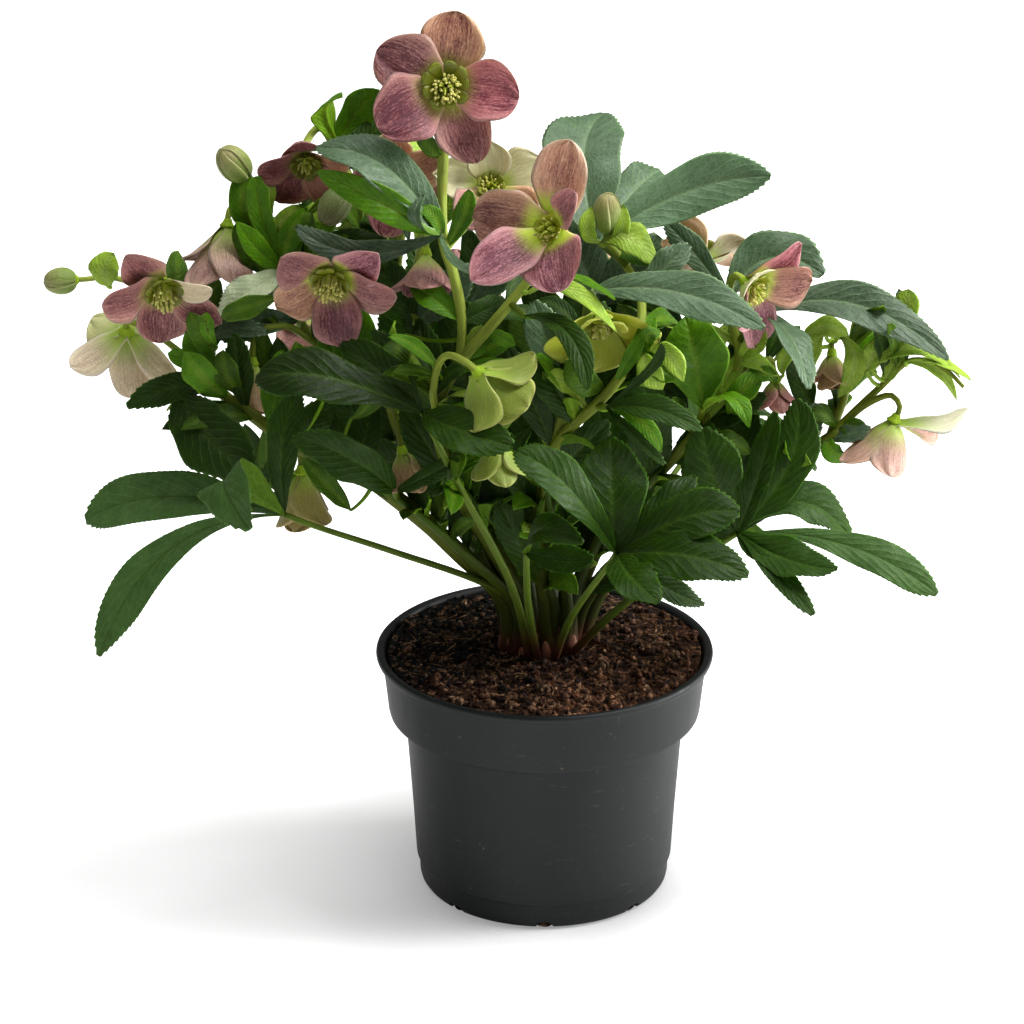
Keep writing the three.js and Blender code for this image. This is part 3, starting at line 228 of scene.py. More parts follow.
# The leaves on each stem: where each starts, its tip, its greatest width, the way it faces and its look.
STEM_LEAVES = {
    "stem_front_tall": [
        ([-30, -26, 176], [-57, -30, 223], 14, FRONT, DARK_LEAF),
        ([-37, -32, 192], [-26, -28, 226], 14, FRONT, DARK_LEAF),
        ([-43, -41, 225], [-68, -38, 257], 15, FRONT, DARK_LEAF),
        ([-43, -41, 225], [-50, -30, 259], 14, FRONT, DARK_LEAF),
        ([-38, -44, 237], [-60, -52, 253], 11, FRONT_UP, BLUE_LEAF),
        ([-33, -47, 264], [-53, -40, 276], 11, FRONT_UP, BRIGHT_LEAF),
        ([-33, -48, 248], [-23, -38, 254], 7, FRONT, BRIGHT_LEAF),
        ([-23, -50, 261], [-12, -45, 253], 6, FRONT, BRIGHT_LEAF),
        ([-33, -47, 264], [-16, -40, 270], 10, FRONT, DARK_LEAF),
        ([-6, -50, 283], [26, -66, 279], 7, UP, BRIGHT_LEAF),
    ],
    "stem_centre": [
        ([-2, -20, 155], [-28, -22, 199], 17, FRONT, DARK_LEAF),
        ([-3, -25, 172], [-18, -30, 212], 13, FRONT, DARK_LEAF),
        ([3, -35, 207], [-16, -32, 249], 13, FRONT, DARK_LEAF),
        ([3, -35, 207], [-1, -28, 256], 15, FRONT, DARK_LEAF),
        ([0, -30, 190], [25, -30, 216], 16, FRONT, DARK_LEAF),
        ([12, -43, 219], [-3, -44, 247], 14, FRONT, DARK_LEAF),
        ([8, -37, 229], [-5, -38, 269], 16, FRONT, BLUE_LEAF),
        ([-1, -16, 140], [-19, -30, 182], 14, FRONT, DARK_LEAF),
        ([26, -52, 239], [38, -50, 261], 12, FRONT, DARK_LEAF),
        ([34, -46, 250], [50, -55, 242], 11, FRONT_UP, BRIGHT_LEAF),
        ([34, -46, 250], [42, -44, 264], 8, FRONT, BRIGHT_LEAF),
        ([37, -25, 266], [56, -20, 286], 12, FRONT_UP, BLUE_LEAF),
        ([28, -12, 280], [43, -16, 278], 9, FRONT_UP, BRIGHT_LEAF),
    ],
    "stem_right": [
        ([28, 0, 162], [22, 5, 210], 22, FRONT, DARK_LEAF),
        ([40, -4, 177], [44, -6, 220], 18, FRONT, DARK_LEAF),
        ([50, -8, 190], [38, -12, 229], 14, FRONT, DARK_LEAF),
        ([50, -8, 190], [77, 0, 207], 16, FRONT, DARK_LEAF),
        ([62, -12, 207], [88, -14, 221], 14, FRONT_UP, DARK_LEAF),
        ([70, -12, 222], [48, -10, 239], 13, FRONT, DARK_LEAF),
        ([14, 1, 128], [49, -8, 147], 14, FRONT_UP, DARK_LEAF),
        ([77, -12, 235], [87, -14, 249], 9, FRONT, BRIGHT_LEAF),
        ([62, -12, 207], [79, -10, 239], 9, FRONT, BRIGHT_LEAF),
        ([28, 0, 162], [45, 4, 191], 18, FRONT, DARK_LEAF),
    ],
    "stem_far_right": [
        ([65, -6, 168], [63, 2, 204], 20, FRONT, DARK_LEAF),
        ([80, -10, 178], [79, 0, 216], 18, FRONT, DARK_LEAF),
        ([80, -10, 178], [101, -6, 205], 16, FRONT, DARK_LEAF),
        ([93, -12, 188], [109, -16, 218], 13, FRONT, BLUE_LEAF),
        ([106, -15, 198], [97, -22, 218], 12, FRONT_UP, BLUE_LEAF),
        ([112, -15, 202], [130, -20, 208], 8, FRONT_UP, BLUE_LEAF),
        ([146, -14, 236], [169, -20, 230], 7, UP, BRIGHT_LEAF),
        ([134, -12, 224], [143, -10, 241], 7, FRONT, BRIGHT_LEAF),
        ([50, -2, 158], [82, 2, 161], 16, FRONT, DARK_LEAF),
        ([65, -6, 168], [87, 0, 192], 18, FRONT, DARK_LEAF),
        ([80, -10, 178], [91, -20, 183], 12, FRONT_UP, BRIGHT_LEAF),
        ([24, 6, 128], [60, 6, 141], 14, FRONT_UP, DARK_LEAF),
    ],
    "stem_left_tall": [
        ([-59, 10, 193], [-69, 5, 236], 18, FRONT, DARK_LEAF),
        ([-59, 10, 193], [-91, 2, 215], 16, FRONT, DARK_LEAF),
        ([-71, 9, 209], [-76, 0, 256], 14, FRONT, BRIGHT_LEAF),
        ([-83, 8, 224], [-114, -5, 228], 13, FRONT, DARK_LEAF),
        ([-83, 8, 224], [-91, 0, 261], 12, FRONT, BRIGHT_LEAF),
        ([-99, 5, 246], [-132, -8, 244], 14, FRONT_UP, BLUE_LEAF),
        ([-102, 5, 258], [-128, -14, 258], 12, FRONT_UP, BLUE_LEAF),
        ([-104, 5, 271], [-64, -10, 285], 12, FRONT_UP, DARK_LEAF),
        ([-104, 5, 271], [-92, 11, 296], 11, FRONT, DARK_LEAF),
        ([-92, 6, 236], [-78, 8, 273], 16, FRONT, DARK_LEAF),
        ([-99, 5, 246], [-102, -10, 273], 9, FRONT, BRIGHT_LEAF),
        ([-83, 8, 224], [-80, -10, 256], 9, FRONT, BRIGHT_LEAF),
        ([-59, 10, 193], [-46, 0, 235], 14, FRONT, DARK_LEAF),
        ([-47, 11, 175], [-79, 5, 195], 16, FRONT, DARK_LEAF),
        ([-47, 11, 175], [-47, 12, 209], 16, FRONT, DARK_LEAF),
    ],
    "stem_low_left": [
        ([-75, -33, 195], [-95, -28, 222], 16, FRONT, DARK_LEAF),
        ([-75, -33, 195], [-69, -25, 223], 14, FRONT, DARK_LEAF),
        ([-119, -26, 219], [-123, -20, 249], 11, FRONT, DARK_LEAF),
        ([-131, -18, 230], [-142, -26, 252], 11, FRONT, BRIGHT_LEAF),
        ([-109, -30, 213], [-104, -24, 244], 12, FRONT, BRIGHT_LEAF),
        ([-132, -16, 234], [-150, -20, 241], 9, FRONT, BRIGHT_LEAF),
        ([-56, -30, 180], [-86, -28, 206], 12, FRONT_UP, DARK_LEAF),
        ([-99, -33, 207], [-85, -30, 225], 12, FRONT, DARK_LEAF),
    ],
    "stem_back_left": [
        ([-30, 22, 185], [-51, 20, 217], 20, FRONT, DARK_LEAF),
        ([-41, 21, 212], [-76, 22, 227], 20, FRONT, DARK_LEAF),
        ([-41, 21, 212], [-33, 18, 250], 20, FRONT, DARK_LEAF),
        ([-52, 20, 240], [-69, 16, 270], 16, FRONT, DARK_LEAF),
        ([-52, 20, 240], [-30, 12, 267], 16, FRONT, BLUE_LEAF),
        ([-59, 17, 262], [-80, 14, 288], 14, FRONT, DARK_LEAF),
        ([-66, 15, 280], [-88, 10, 293], 12, FRONT_UP, DARK_LEAF),
        ([-66, 15, 280], [-56, 12, 305], 14, FRONT, DARK_LEAF),
        ([-80, 16, 306], [-64, 20, 325], 14, FRONT, DARK_LEAF),
        ([-73, 15, 293], [-98, 5, 290], 10, FRONT_UP, BRIGHT_LEAF),
    ],
    "stem_back_right": [
        ([10, 18, 135], [28, 14, 178], 20, FRONT, DARK_LEAF),
        ([20, 40, 190], [0, 38, 228], 24, FRONT, DARK_LEAF),
        ([20, 40, 190], [45, 36, 231], 24, FRONT, DARK_LEAF),
        ([24, 56, 236], [6, 48, 277], 24, FRONT, BLUE_LEAF),
        ([24, 56, 236], [47, 48, 268], 22, FRONT, BLUE_LEAF),
        ([15, 29, 162], [-2, 25, 187], 20, FRONT, DARK_LEAF),
        ([20, 40, 190], [23, 42, 242], 24, FRONT, DARK_LEAF),
        ([10, 18, 135], [15, 16, 173], 18, FRONT, DARK_LEAF),
        ([24, 56, 236], [64, 52, 243], 20, FRONT, DARK_LEAF),
    ],
    "stem_back_centre": [
        ([-12, 40, 165], [-37, 38, 195], 22, FRONT, DARK_LEAF),
        ([-20, 54, 190], [-18, 48, 240], 24, FRONT, DARK_LEAF),
        ([-34, 74, 224], [-18, 66, 263], 22, FRONT, BLUE_LEAF),
        ([-50, 52, 208], [-64, 48, 245], 22, FRONT, DARK_LEAF),
        ([-76, 52, 228], [-101, 45, 263], 18, FRONT, DARK_LEAF),
        ([-34, 74, 224], [-56, 66, 256], 20, FRONT, DARK_LEAF),
        ([-6, 26, 140], [-31, 24, 170], 18, FRONT, DARK_LEAF),
        ([-12, 40, 165], [-6, 40, 199], 20, FRONT, DARK_LEAF),
        ([-50, 52, 208], [-43, 50, 244], 20, FRONT, DARK_LEAF),
    ],
}

FLOWERS = {
    "flower_top": flower([-39, -30, 353], [0.05, -1, 0.25], 31, 14, 84, MAUVE),
    "flower_front": flower([2, -60, 305], [-0.4, -0.85, 0.3], 30, 22, 75, MAUVE),
    "flower_left": flower([-83, -42, 281], [-0.15, -0.95, -0.3], 25, 20, 55, PINK),
    "flower_far_left": flower([-151, -25, 272], [0.3, -0.85, -0.4], 26, 20, 125, MAUVE),
    "flower_pale_left": flower([-168, 0, 243], [-0.1, 0.5, -0.75], 27, 34, 95, PALE),
    "flower_dark_nodding": flower([-95, 8, 314], [0.05, -0.85, -0.45], 21, 30, 20, MAUVE),
    "flower_pale_side": flower([-127, 6, 285], [-0.15, -0.3, -0.95], 28, 58, 100, PALE),
    "flower_upright": flower([-22, -15, 307], [0.1, -0.8, 0.5], 23, 26, 40, PALE),
    "flower_behind_leaf": flower([-58, 0, 306], [0, -0.95, 0.1], 20, 20, 90, MAUVE),
    "flower_inner": flower([-47, -26, 283], [0, -0.5, -0.8], 18, 45, 90, MAUVE),
    "flower_right": flower([79, -20, 270], [0.65, -0.7, -0.25], 26, 22, 60, PINK),
    "flower_peach": flower([63, 15, 267], [0.1, 0.6, 0.5], 23, 25, 100, TAN),
    "flower_far_right": flower([139, -20, 212], [-0.3, -0.05, -0.9], 29, 26, 20, PALE),
    "flower_right_bracts": flower([115, -2, 233], [0, -0.35, -0.9], 15, 66, 60, TAN),
    "flower_right_small": flower([92, -5, 223], [0.1, -0.2, -1], 13, 62, 30, PINK),
    "flower_lime": flower([-26, -80, 254], [0.6, 0.3, -0.7], 24, 38, 100, LIME),
    "flower_bell": flower([20, -44, 264], [0.15, -0.75, -0.6], 23, 46, 10, LIME),
    "flower_globe": flower([-19, -85, 228], [0, -0.15, -1], 18, 63, 0, LIME),
    "flower_low_left": flower([-98, -20, 190], [0.05, -0.15, -1], 31, 69, 40, TAN),
    "flower_cream": flower([-117, -12, 233], [0, -0.2, -1], 22, 72, 70, TAN),
    "flower_brown": flower([-57, -30, 202], [0.2, -0.3, -1], 18, 67, 20, TAN),
    "flower_back_left": flower([-90, 61, 227], [-0.4, 0.7, -0.5], 24, 28, 50, MAUVE),
    "flower_back_centre": flower([-41, 90, 229], [0, 0.8, -0.5], 25, 24, 30, MAUVE),
    "flower_back_right": flower([22, 76, 248], [0.1, 0.9, -0.1], 26, 20, 80, PINK),
}

BUDS = {
    "bud_far_left": bud([-191, -20, 271], [-1, -0.1, -0.05], 5.5, 6.5),
    "bud_left": bud([-123, 0, 313], [-0.5, -0.4, 0.8], 6.5, 8.5),
    "bud_centre": bud([24, -14, 297], [0, -0.2, 1], 6, 8.5),
    "bud_behind_leaf": bud([-83, -15, 300], [-0.5, -0.5, -0.7], 6.5, 8),
}

LEAVES = {
    "leaf_low_left": leaf(DARK_LEAF, [[-12, -7, 104], [-12, -13, 130], [-24, -19, 141], [-62, -34, 162],
        [-93, -48, 179], [-103, -52, 185]], [
        leaflet([-149, -40, 188], [-184, -33, 175], 27, FRONT_UP),
        leaflet([-148, -62, 174], [-176, -75, 134], 24, FRONT_UP),
        leaflet([-124, -75, 209], [-114, -88, 193], 24, LEFT_UP),
        leaflet([-103, -50, 216], [-96, -40, 234], 13, FRONT),
    ]),
    "leaf_large_left": leaf(DARK_LEAF, [[-126, -22, 223], [-130, -24, 228]], [
        leaflet([-147, -27, 229], [-166, -30, 222], 13, FRONT_UP),
        leaflet([-135, -40, 215], [-114, -50, 201], 26, FRONT, [-145, -27, 229,
    ]),
    ]),
    "leaf_centre_left": leaf(DARK_LEAF, [[-6, -11, 104], [-14, -40, 150], [-36, -62, 205], [-48, -66, 233]],
        [
        leaflet([-85, -77, 252], [-112, -67, 247], 21, FRONT_UP),
        leaflet([-62, -62, 247], [-80, -49, 255], 17, FRONT),
        leaflet([-33, -87, 234], [-13, -97, 231], 20, FRONT_UP),
    ]),
    "leaf_under_left": leaf(DARK_LEAF, [[-59, -31, 183], [-60, -40, 190]], [
        leaflet([-77, -58, 211], [-99, -57, 219], 18, FRONT),
        leaflet([-46, -58, 204], [-34, -66, 214], 9, FRONT_UP),
    ]),
    "leaf_curled_left": leaf(BRIGHT_LEAF, [[-80, 13, 306], [-83, 18, 316]], [
        leaflet([-88, 15, 331], [-80, 2, 340], 13, [-1, 0.8, 0.5,
    ]),
        leaflet([-75, 20, 328], [-66, 14, 339], 14, FRONT),
    ]),
    "leaf_under_top_flower": leaf(BLUE_LEAF, [[-40, -42, 294], [-41, -45, 298]], [
        leaflet([-62, -47, 326], [-89, -37, 330], 20, FRONT_UP),
        leaflet([-66, -54, 315], [-88, -44, 323], 13, FRONT),
        leaflet([-50, -58, 308], [-47, -52, 316], 8, LEFT_UP),
        leaflet([-72, -46, 291], [-97, -34, 298], 11, FRONT_UP),
        leaflet([-32, -62, 290], [-18, -58, 290], 6, UP),
    ]),
    "leaf_top_right": leaf(BLUE_LEAF, [[32, -16, 276], [20, -6, 283]], [
        leaflet([15, 19, 311], [24, 45, 321], 33, FRONT),
        leaflet([36, 24, 295], [47, 40, 298], 20, FRONT_UP),
        leaflet([55, -5, 303], [87, -20, 314], 24, FRONT_UP),
    ]),
    "leaf_behind_right": leaf(BLUE_LEAF, [[76, -11, 252], [73, 2, 257]], [
        leaflet([58, 2, 277], [47, 6, 287], 16, FRONT),
        leaflet([90, 9, 271], [111, 3, 266], 24, FRONT_UP),
    ]),
    "leaf_long_right": leaf(BLUE_LEAF, [[13, -35, 246], [16, -46, 268], [18, -49, 277]], [
        leaflet([51, -64, 281], [82, -77, 271], 18, FRONT_UP),
    ]),
    "leaf_drooping": leaf(DARK_LEAF, [[-14, -50, 272], [-9, -56, 269]], [
        leaflet([8, -74, 268], [15, -90, 251], 17, FRONT_UP),
    ]),
    "leaf_far_right": leaf(BLUE_LEAF, [[77, -11, 243], [87, -8, 254]], [
        leaflet([123, -13, 259], [159, -25, 240], 22, FRONT_UP),
        leaflet([98, -25, 247], [103, -37, 232], 15, RIGHT_UP),
    ]),
    "leaf_low_right": leaf(DARK_LEAF, [[10, -8, 104], [34, -28, 138], [60, -38, 160], [76, -42, 173]], [
        leaflet([101, -36, 184], [122, -40, 169], 18, FRONT_UP),
        leaflet([118, -54, 173], [154, -64, 156], 23, FRONT_UP),
        leaflet([95, -64, 171], [113, -76, 172], 20, FRONT_UP),
        leaflet([66, -44, 199], [62, -40, 217], 23, FRONT),
        leaflet([83, -54, 202], [89, -52, 228], 15, LEFT_UP),
        leaflet([97, -34, 200], [99, -27, 224], 18, FRONT),
    ]),
    "leaf_front": leaf(DARK_LEAF, [[4, -11, 104], [10, -40, 135], [20, -70, 165], [27, -85, 182]], [
        leaflet([7, -104, 218], [-12, -100, 230], 18, FRONT_UP),
        leaflet([25, -82, 208], [25, -60, 221], 26, FRONT),
        leaflet([44, -82, 199], [57, -72, 209], 13, FRONT_UP),
        leaflet([51, -95, 201], [73, -98, 205], 20, FRONT_UP),
        leaflet([52, -107, 191], [76, -113, 185], 21, FRONT_UP),
        leaflet([32, -108, 182], [42, -122, 178], 17, FRONT_UP),
        leaflet([46, -92, 171], [61, -88, 162], 10, FRONT_UP),
    ]),
    "leaf_young_front": leaf(DARK_LEAF, [[-3, -12, 104], [-7, -38, 140], [-8, -60, 172]], [
        leaflet([-2, -75, 188], [14, -84, 186], 14, FRONT_UP),
        leaflet([6, -70, 173], [18, -76, 176], 13, FRONT_UP),
    ]),
    "leaf_bright": leaf(BRIGHT_LEAF, [[62, -12, 208], [62, -25, 220]], [
        leaflet([58, -36, 246], [54, -31, 260], 26, LOW_FRONT),
        leaflet([72, -48, 233], [79, -54, 222], 9, UP),
    ]),
    "leaf_centre": leaf(DARK_LEAF, [[20, -50, 230], [23, -57, 232]], [
        leaflet([41, -75, 238], [59, -80, 231], 15, FRONT_UP),
        leaflet([34, -74, 226], [45, -80, 217], 7, FRONT_UP),
        leaflet([40, -68, 252], [43, -72, 263], 10, FRONT),
    ]),
    "leaf_upper_left": leaf(BRIGHT_LEAF, [[-104, 4, 266], [-104, -4, 270]], [
        leaflet([-114, -15, 283], [-121, -18, 295], 11, FRONT_UP),
        leaflet([-101, -4, 285], [-96, 2, 296], 11, FRONT),
        leaflet([-116, -28, 270], [-128, -32, 262], 14, FRONT_UP),
        leaflet([-113, -6, 297], [-112, -5, 309], 10, FRONT),
    ]),
    "leaf_behind_far_left": leaf(BLUE_LEAF, [[-133, -14, 238], [-134, -11, 244]], [
        leaflet([-123, -14, 249], [-111, -12, 247], 9, FRONT_UP),
        leaflet([-141, -5, 251], [-147, 0, 257], 9, FRONT),
    ]),
    "leaf_back_left": leaf(DARK_LEAF, [[-8, 8, 104], [-34, 45, 135], [-60, 72, 158], [-70, 82, 166]], [
        leaflet([-95, 70, 176], [-118, 62, 160], 20, UP),
        leaflet([-92, 92, 176], [-114, 104, 158], 22, UP),
        leaflet([-72, 108, 178], [-76, 132, 160], 22, UP),
        leaflet([-52, 106, 178], [-40, 128, 164], 20, UP),
    ]),
    "leaf_back_right": leaf(DARK_LEAF, [[8, 9, 104], [33, 39, 134], [57, 66, 158], [66, 77, 167]], [
        leaflet([92, 66, 176], [116, 60, 160], 20, UP),
        leaflet([88, 89, 177], [110, 103, 159], 21, UP),
        leaflet([68, 103, 178], [71, 129, 163], 21, UP),
        leaflet([46, 98, 180], [34, 120, 166], 20, UP),
    ]),
}


def from_picture(across, down, depth):
    """The place that shows at that pixel of the picture and lies at that Y, to the nearest millimetre."""
    right, up = (across - PICTURE / 2) / FOCAL, (PICTURE / 2 - down) / FOCAL
    far = (depth - CAMERA_AT[1]) / (LEVEL + DIP * up)
    return np.round([CAMERA_AT[0] + far * right, depth, CAMERA_AT[2] + far * (LEVEL * up - DIP)])


# Bracts and young leaves between the flowers: where each starts, its middle and its tip, each as
# a pixel of the picture and a Y in millimetres, then its width, the way it faces and its look.
# Each stands on the stem nearest to its start.
BRACTS = [
    # round the flowers at the far right
    ((800, 342, -6), (824, 326, -8), (850, 336, -8), 9, FRONT_UP, LIME_BRACT),
    ((824, 334, -8), (811, 350, -10), (814, 371, -8), 8, FRONT, LIME_BRACT),
    ((838, 337, -8), (854, 362, -14), (838, 398, -12), 9, FRONT, LIME_BRACT),
    ((868, 371, -14), (878, 350, -14), (898, 343, -14), 11, FRONT, LIME_BRACT),
    ((872, 369, -14), (915, 347, -16), (960, 377, -18), 8, FRONT_UP, LIME_BRACT),
    ((905, 361, -16), (938, 370, -18), (957, 402, -18), 5, FRONT, LIME_BRACT),
    ((780, 377, -10), (755, 360, -12), (732, 358, -10), 8, FRONT_UP, LIME_BRACT),
    ((779, 378, -10), (762, 374, -14), (740, 382, -12), 7, FRONT, BRIGHT_LEAF),
    ((782, 376, -10), (784, 358, -14), (800, 345, -12), 6, FRONT, LIME_BRACT),
    ((834, 425, -14), (820, 413, -18), (805, 419, -18), 9, FRONT_UP, MID_LEAF),
    ((838, 424, -14), (853, 430, -18), (872, 447, -16), 10, FRONT, MID_LEAF),
    ((826, 432, -14), (830, 450, -20), (846, 462, -18), 8, FRONT, BRIGHT_LEAF),
    # upper left, below the bud
    ((262, 238, 5), (244, 206, 0), (250, 171, 4), 12, FRONT, BRIGHT_LEAF),
    ((264, 238, 5), (266, 205, 0), (272, 180, 4), 7, FRONT, LIME_BRACT),
    ((268, 276, 0), (250, 250, -6), (238, 219, -4), 11, FRONT, MID_LEAF),
    ((272, 262, 0), (276, 232, -4), (300, 204, -2), 8, FRONT, LIME_BRACT),
    ((285, 266, -4), (291, 235, -8), (308, 206, -6), 9, FRONT, BRIGHT_LEAF),
    ((302, 218, -4), (335, 205, -12), (360, 230, -10), 9, FRONT_UP, MID_LEAF),
    ((276, 292, -8), (250, 284, -14), (222, 311, -12), 10, UP, CREAM_LEAF),
    ((276, 297, -34), (250, 306, -42), (221, 317, -38), 9, FRONT, MID_LEAF),
    ((334, 228, 4), (322, 214, 0), (324, 197, 2), 8, FRONT, LIME_BRACT),
    ((340, 229, 4), (354, 216, 0), (355, 197, 2), 7, FRONT, LIME_BRACT),
    ((215, 348, -24), (199, 330, -30), (190, 313, -28), 9, FRONT, MID_LEAF),
    ((216, 348, -24), (207, 330, -30), (208, 312, -28), 6, FRONT, BRIGHT_LEAF),
    ((240, 394, -24), (225, 372, -32), (222, 349, -30), 10, FRONT, MID_LEAF),
    ((228, 400, -24), (203, 376, -34), (184, 351, -32), 13, FRONT, BRIGHT_LEAF),
    # round the tall stem
    ((440, 160, -36), (427, 142, -40), (424, 125, -38), 7, FRONT, MID_LEAF),
    ((443, 242, -42), (434, 218, -48), (420, 206, -46), 7, FRONT_UP, BRIGHT_LEAF),
    ((449, 247, -42), (463, 216, -46), (470, 188, -44), 8, FRONT, BRIGHT_LEAF),
    ((433, 212, -42), (409, 202, -48), (408, 244, -46), 8, FRONT, BLUE_LEAF),
    ((405, 335, -44), (396, 354, -56), (402, 380, -54), 12, FRONT, MID_LEAF),
    # under the middle bud, and in front of the bells
    ((600, 244, -12), (628, 238, -20), (657, 267, -16), 14, FRONT_UP, LIME_BRACT),
    ((599, 244, -12), (588, 230, -18), (592, 206, -14), 7, FRONT, LIME_BRACT),
    ((604, 243, -12), (620, 234, -18), (622, 204, -14), 7, FRONT, LIME_BRACT),
    ((527, 293, -55), (572, 290, -66), (618, 333, -62), 7, FRONT_UP, LIME_BRACT),
    ((646, 352, -48), (648, 370, -56), (663, 389, -54), 10, FRONT, LIME_BRACT),
    ((650, 350, -48), (668, 354, -56), (683, 382, -54), 9, FRONT, LIME_BRACT),
    ((650, 348, -48), (648, 336, -54), (662, 332, -52), 7, FRONT, BRIGHT_LEAF),
    ((602, 390, -46), (582, 380, -58), (566, 361, -56), 12, FRONT, MID_LEAF),
    ((612, 408, -44), (641, 423, -56), (663, 452, -54), 8, FRONT, BRIGHT_LEAF),
    ((500, 392, -34), (488, 372, -44), (470, 362, -42), 9, FRONT, MID_LEAF),
    ((352, 420, -36), (372, 398, -44), (366, 372, -42), 9, FRONT, MID_LEAF),
    ((322, 400, -34), (306, 372, -42), (296, 340, -40), 9, FRONT, BRIGHT_LEAF),
    ((730, 420, -14), (740, 392, -24), (764, 378, -22), 11, FRONT, BRIGHT_LEAF),
    ((700, 452, -14), (722, 440, -28), (752, 452, -26), 11, FRONT_UP, MID_LEAF),
    # leaves deep in the plant, between the flowers
    ((462, 300, 14), (470, 262, 18), (466, 226, 14), 10, FRONT, DARK_LEAF),
    ((430, 300, 10), (438, 262, 14), (434, 234, 10), 9, FRONT, DARK_LEAF),
    ((566, 350, 6), (548, 312, 10), (520, 288, 8), 15, FRONT, DARK_LEAF),
    ((580, 345, 10), (578, 312, 14), (572, 284, 12), 13, FRONT, DARK_LEAF),
    ((545, 362, 0), (528, 336, 0), (514, 312, -2), 12, FRONT, MID_LEAF),
    ((640, 366, 8), (636, 334, 12), (618, 304, 8), 13, FRONT, MID_LEAF),
    ((668, 366, 8), (668, 336, 12), (676, 306, 8), 13, FRONT, DARK_LEAF),
    ((482, 400, 10), (466, 380, 12), (452, 360, 8), 12, FRONT, DARK_LEAF),
    ((688, 410, 4), (672, 390, 4), (656, 366, 0), 10, FRONT, DARK_LEAF),
    ((812, 408, 10), (800, 382, 12), (790, 352, 8), 11, FRONT, DARK_LEAF),
    ((272, 392, -10), (262, 362, -10), (264, 330, -12), 12, FRONT, MID_LEAF),
    ((290, 398, -10), (282, 368, -10), (276, 338, -12), 10, FRONT, DARK_LEAF),
    ((262, 500, -20), (254, 462, -20), (244, 424, -22), 12, FRONT, DARK_LEAF),
    ((276, 492, -20), (268, 458, -20), (268, 424, -22), 9, FRONT, MID_LEAF),
    ((352, 510, -30), (330, 488, -36), (302, 456, -38), 9, FRONT_UP, MID_LEAF),
    ((400, 470, -20), (420, 490, -26), (430, 508, -24), 12, FRONT_UP, DARK_LEAF),
    ((112, 287, -22), (103, 272, -26), (114, 252, -24), 12, FRONT, LIME_BRACT),
    ((222, 320, 0), (212, 300, 0), (216, 276, -2), 9, FRONT, MID_LEAF),
]


# A sepal can be marked to have its foot painted light.
def sepal(turn, length=1.0, width=1.0, rise=0.0, finish=None, blush=None, painted_glow=False, point=0.0):
    """One sepal: its angle in the flower, and how it differs from the flower's rule."""
    return {"turn": turn, "length": length, "width": width, "rise": rise, "finish": finish, "blush": blush,
            "painted_glow": painted_glow, "point": point}


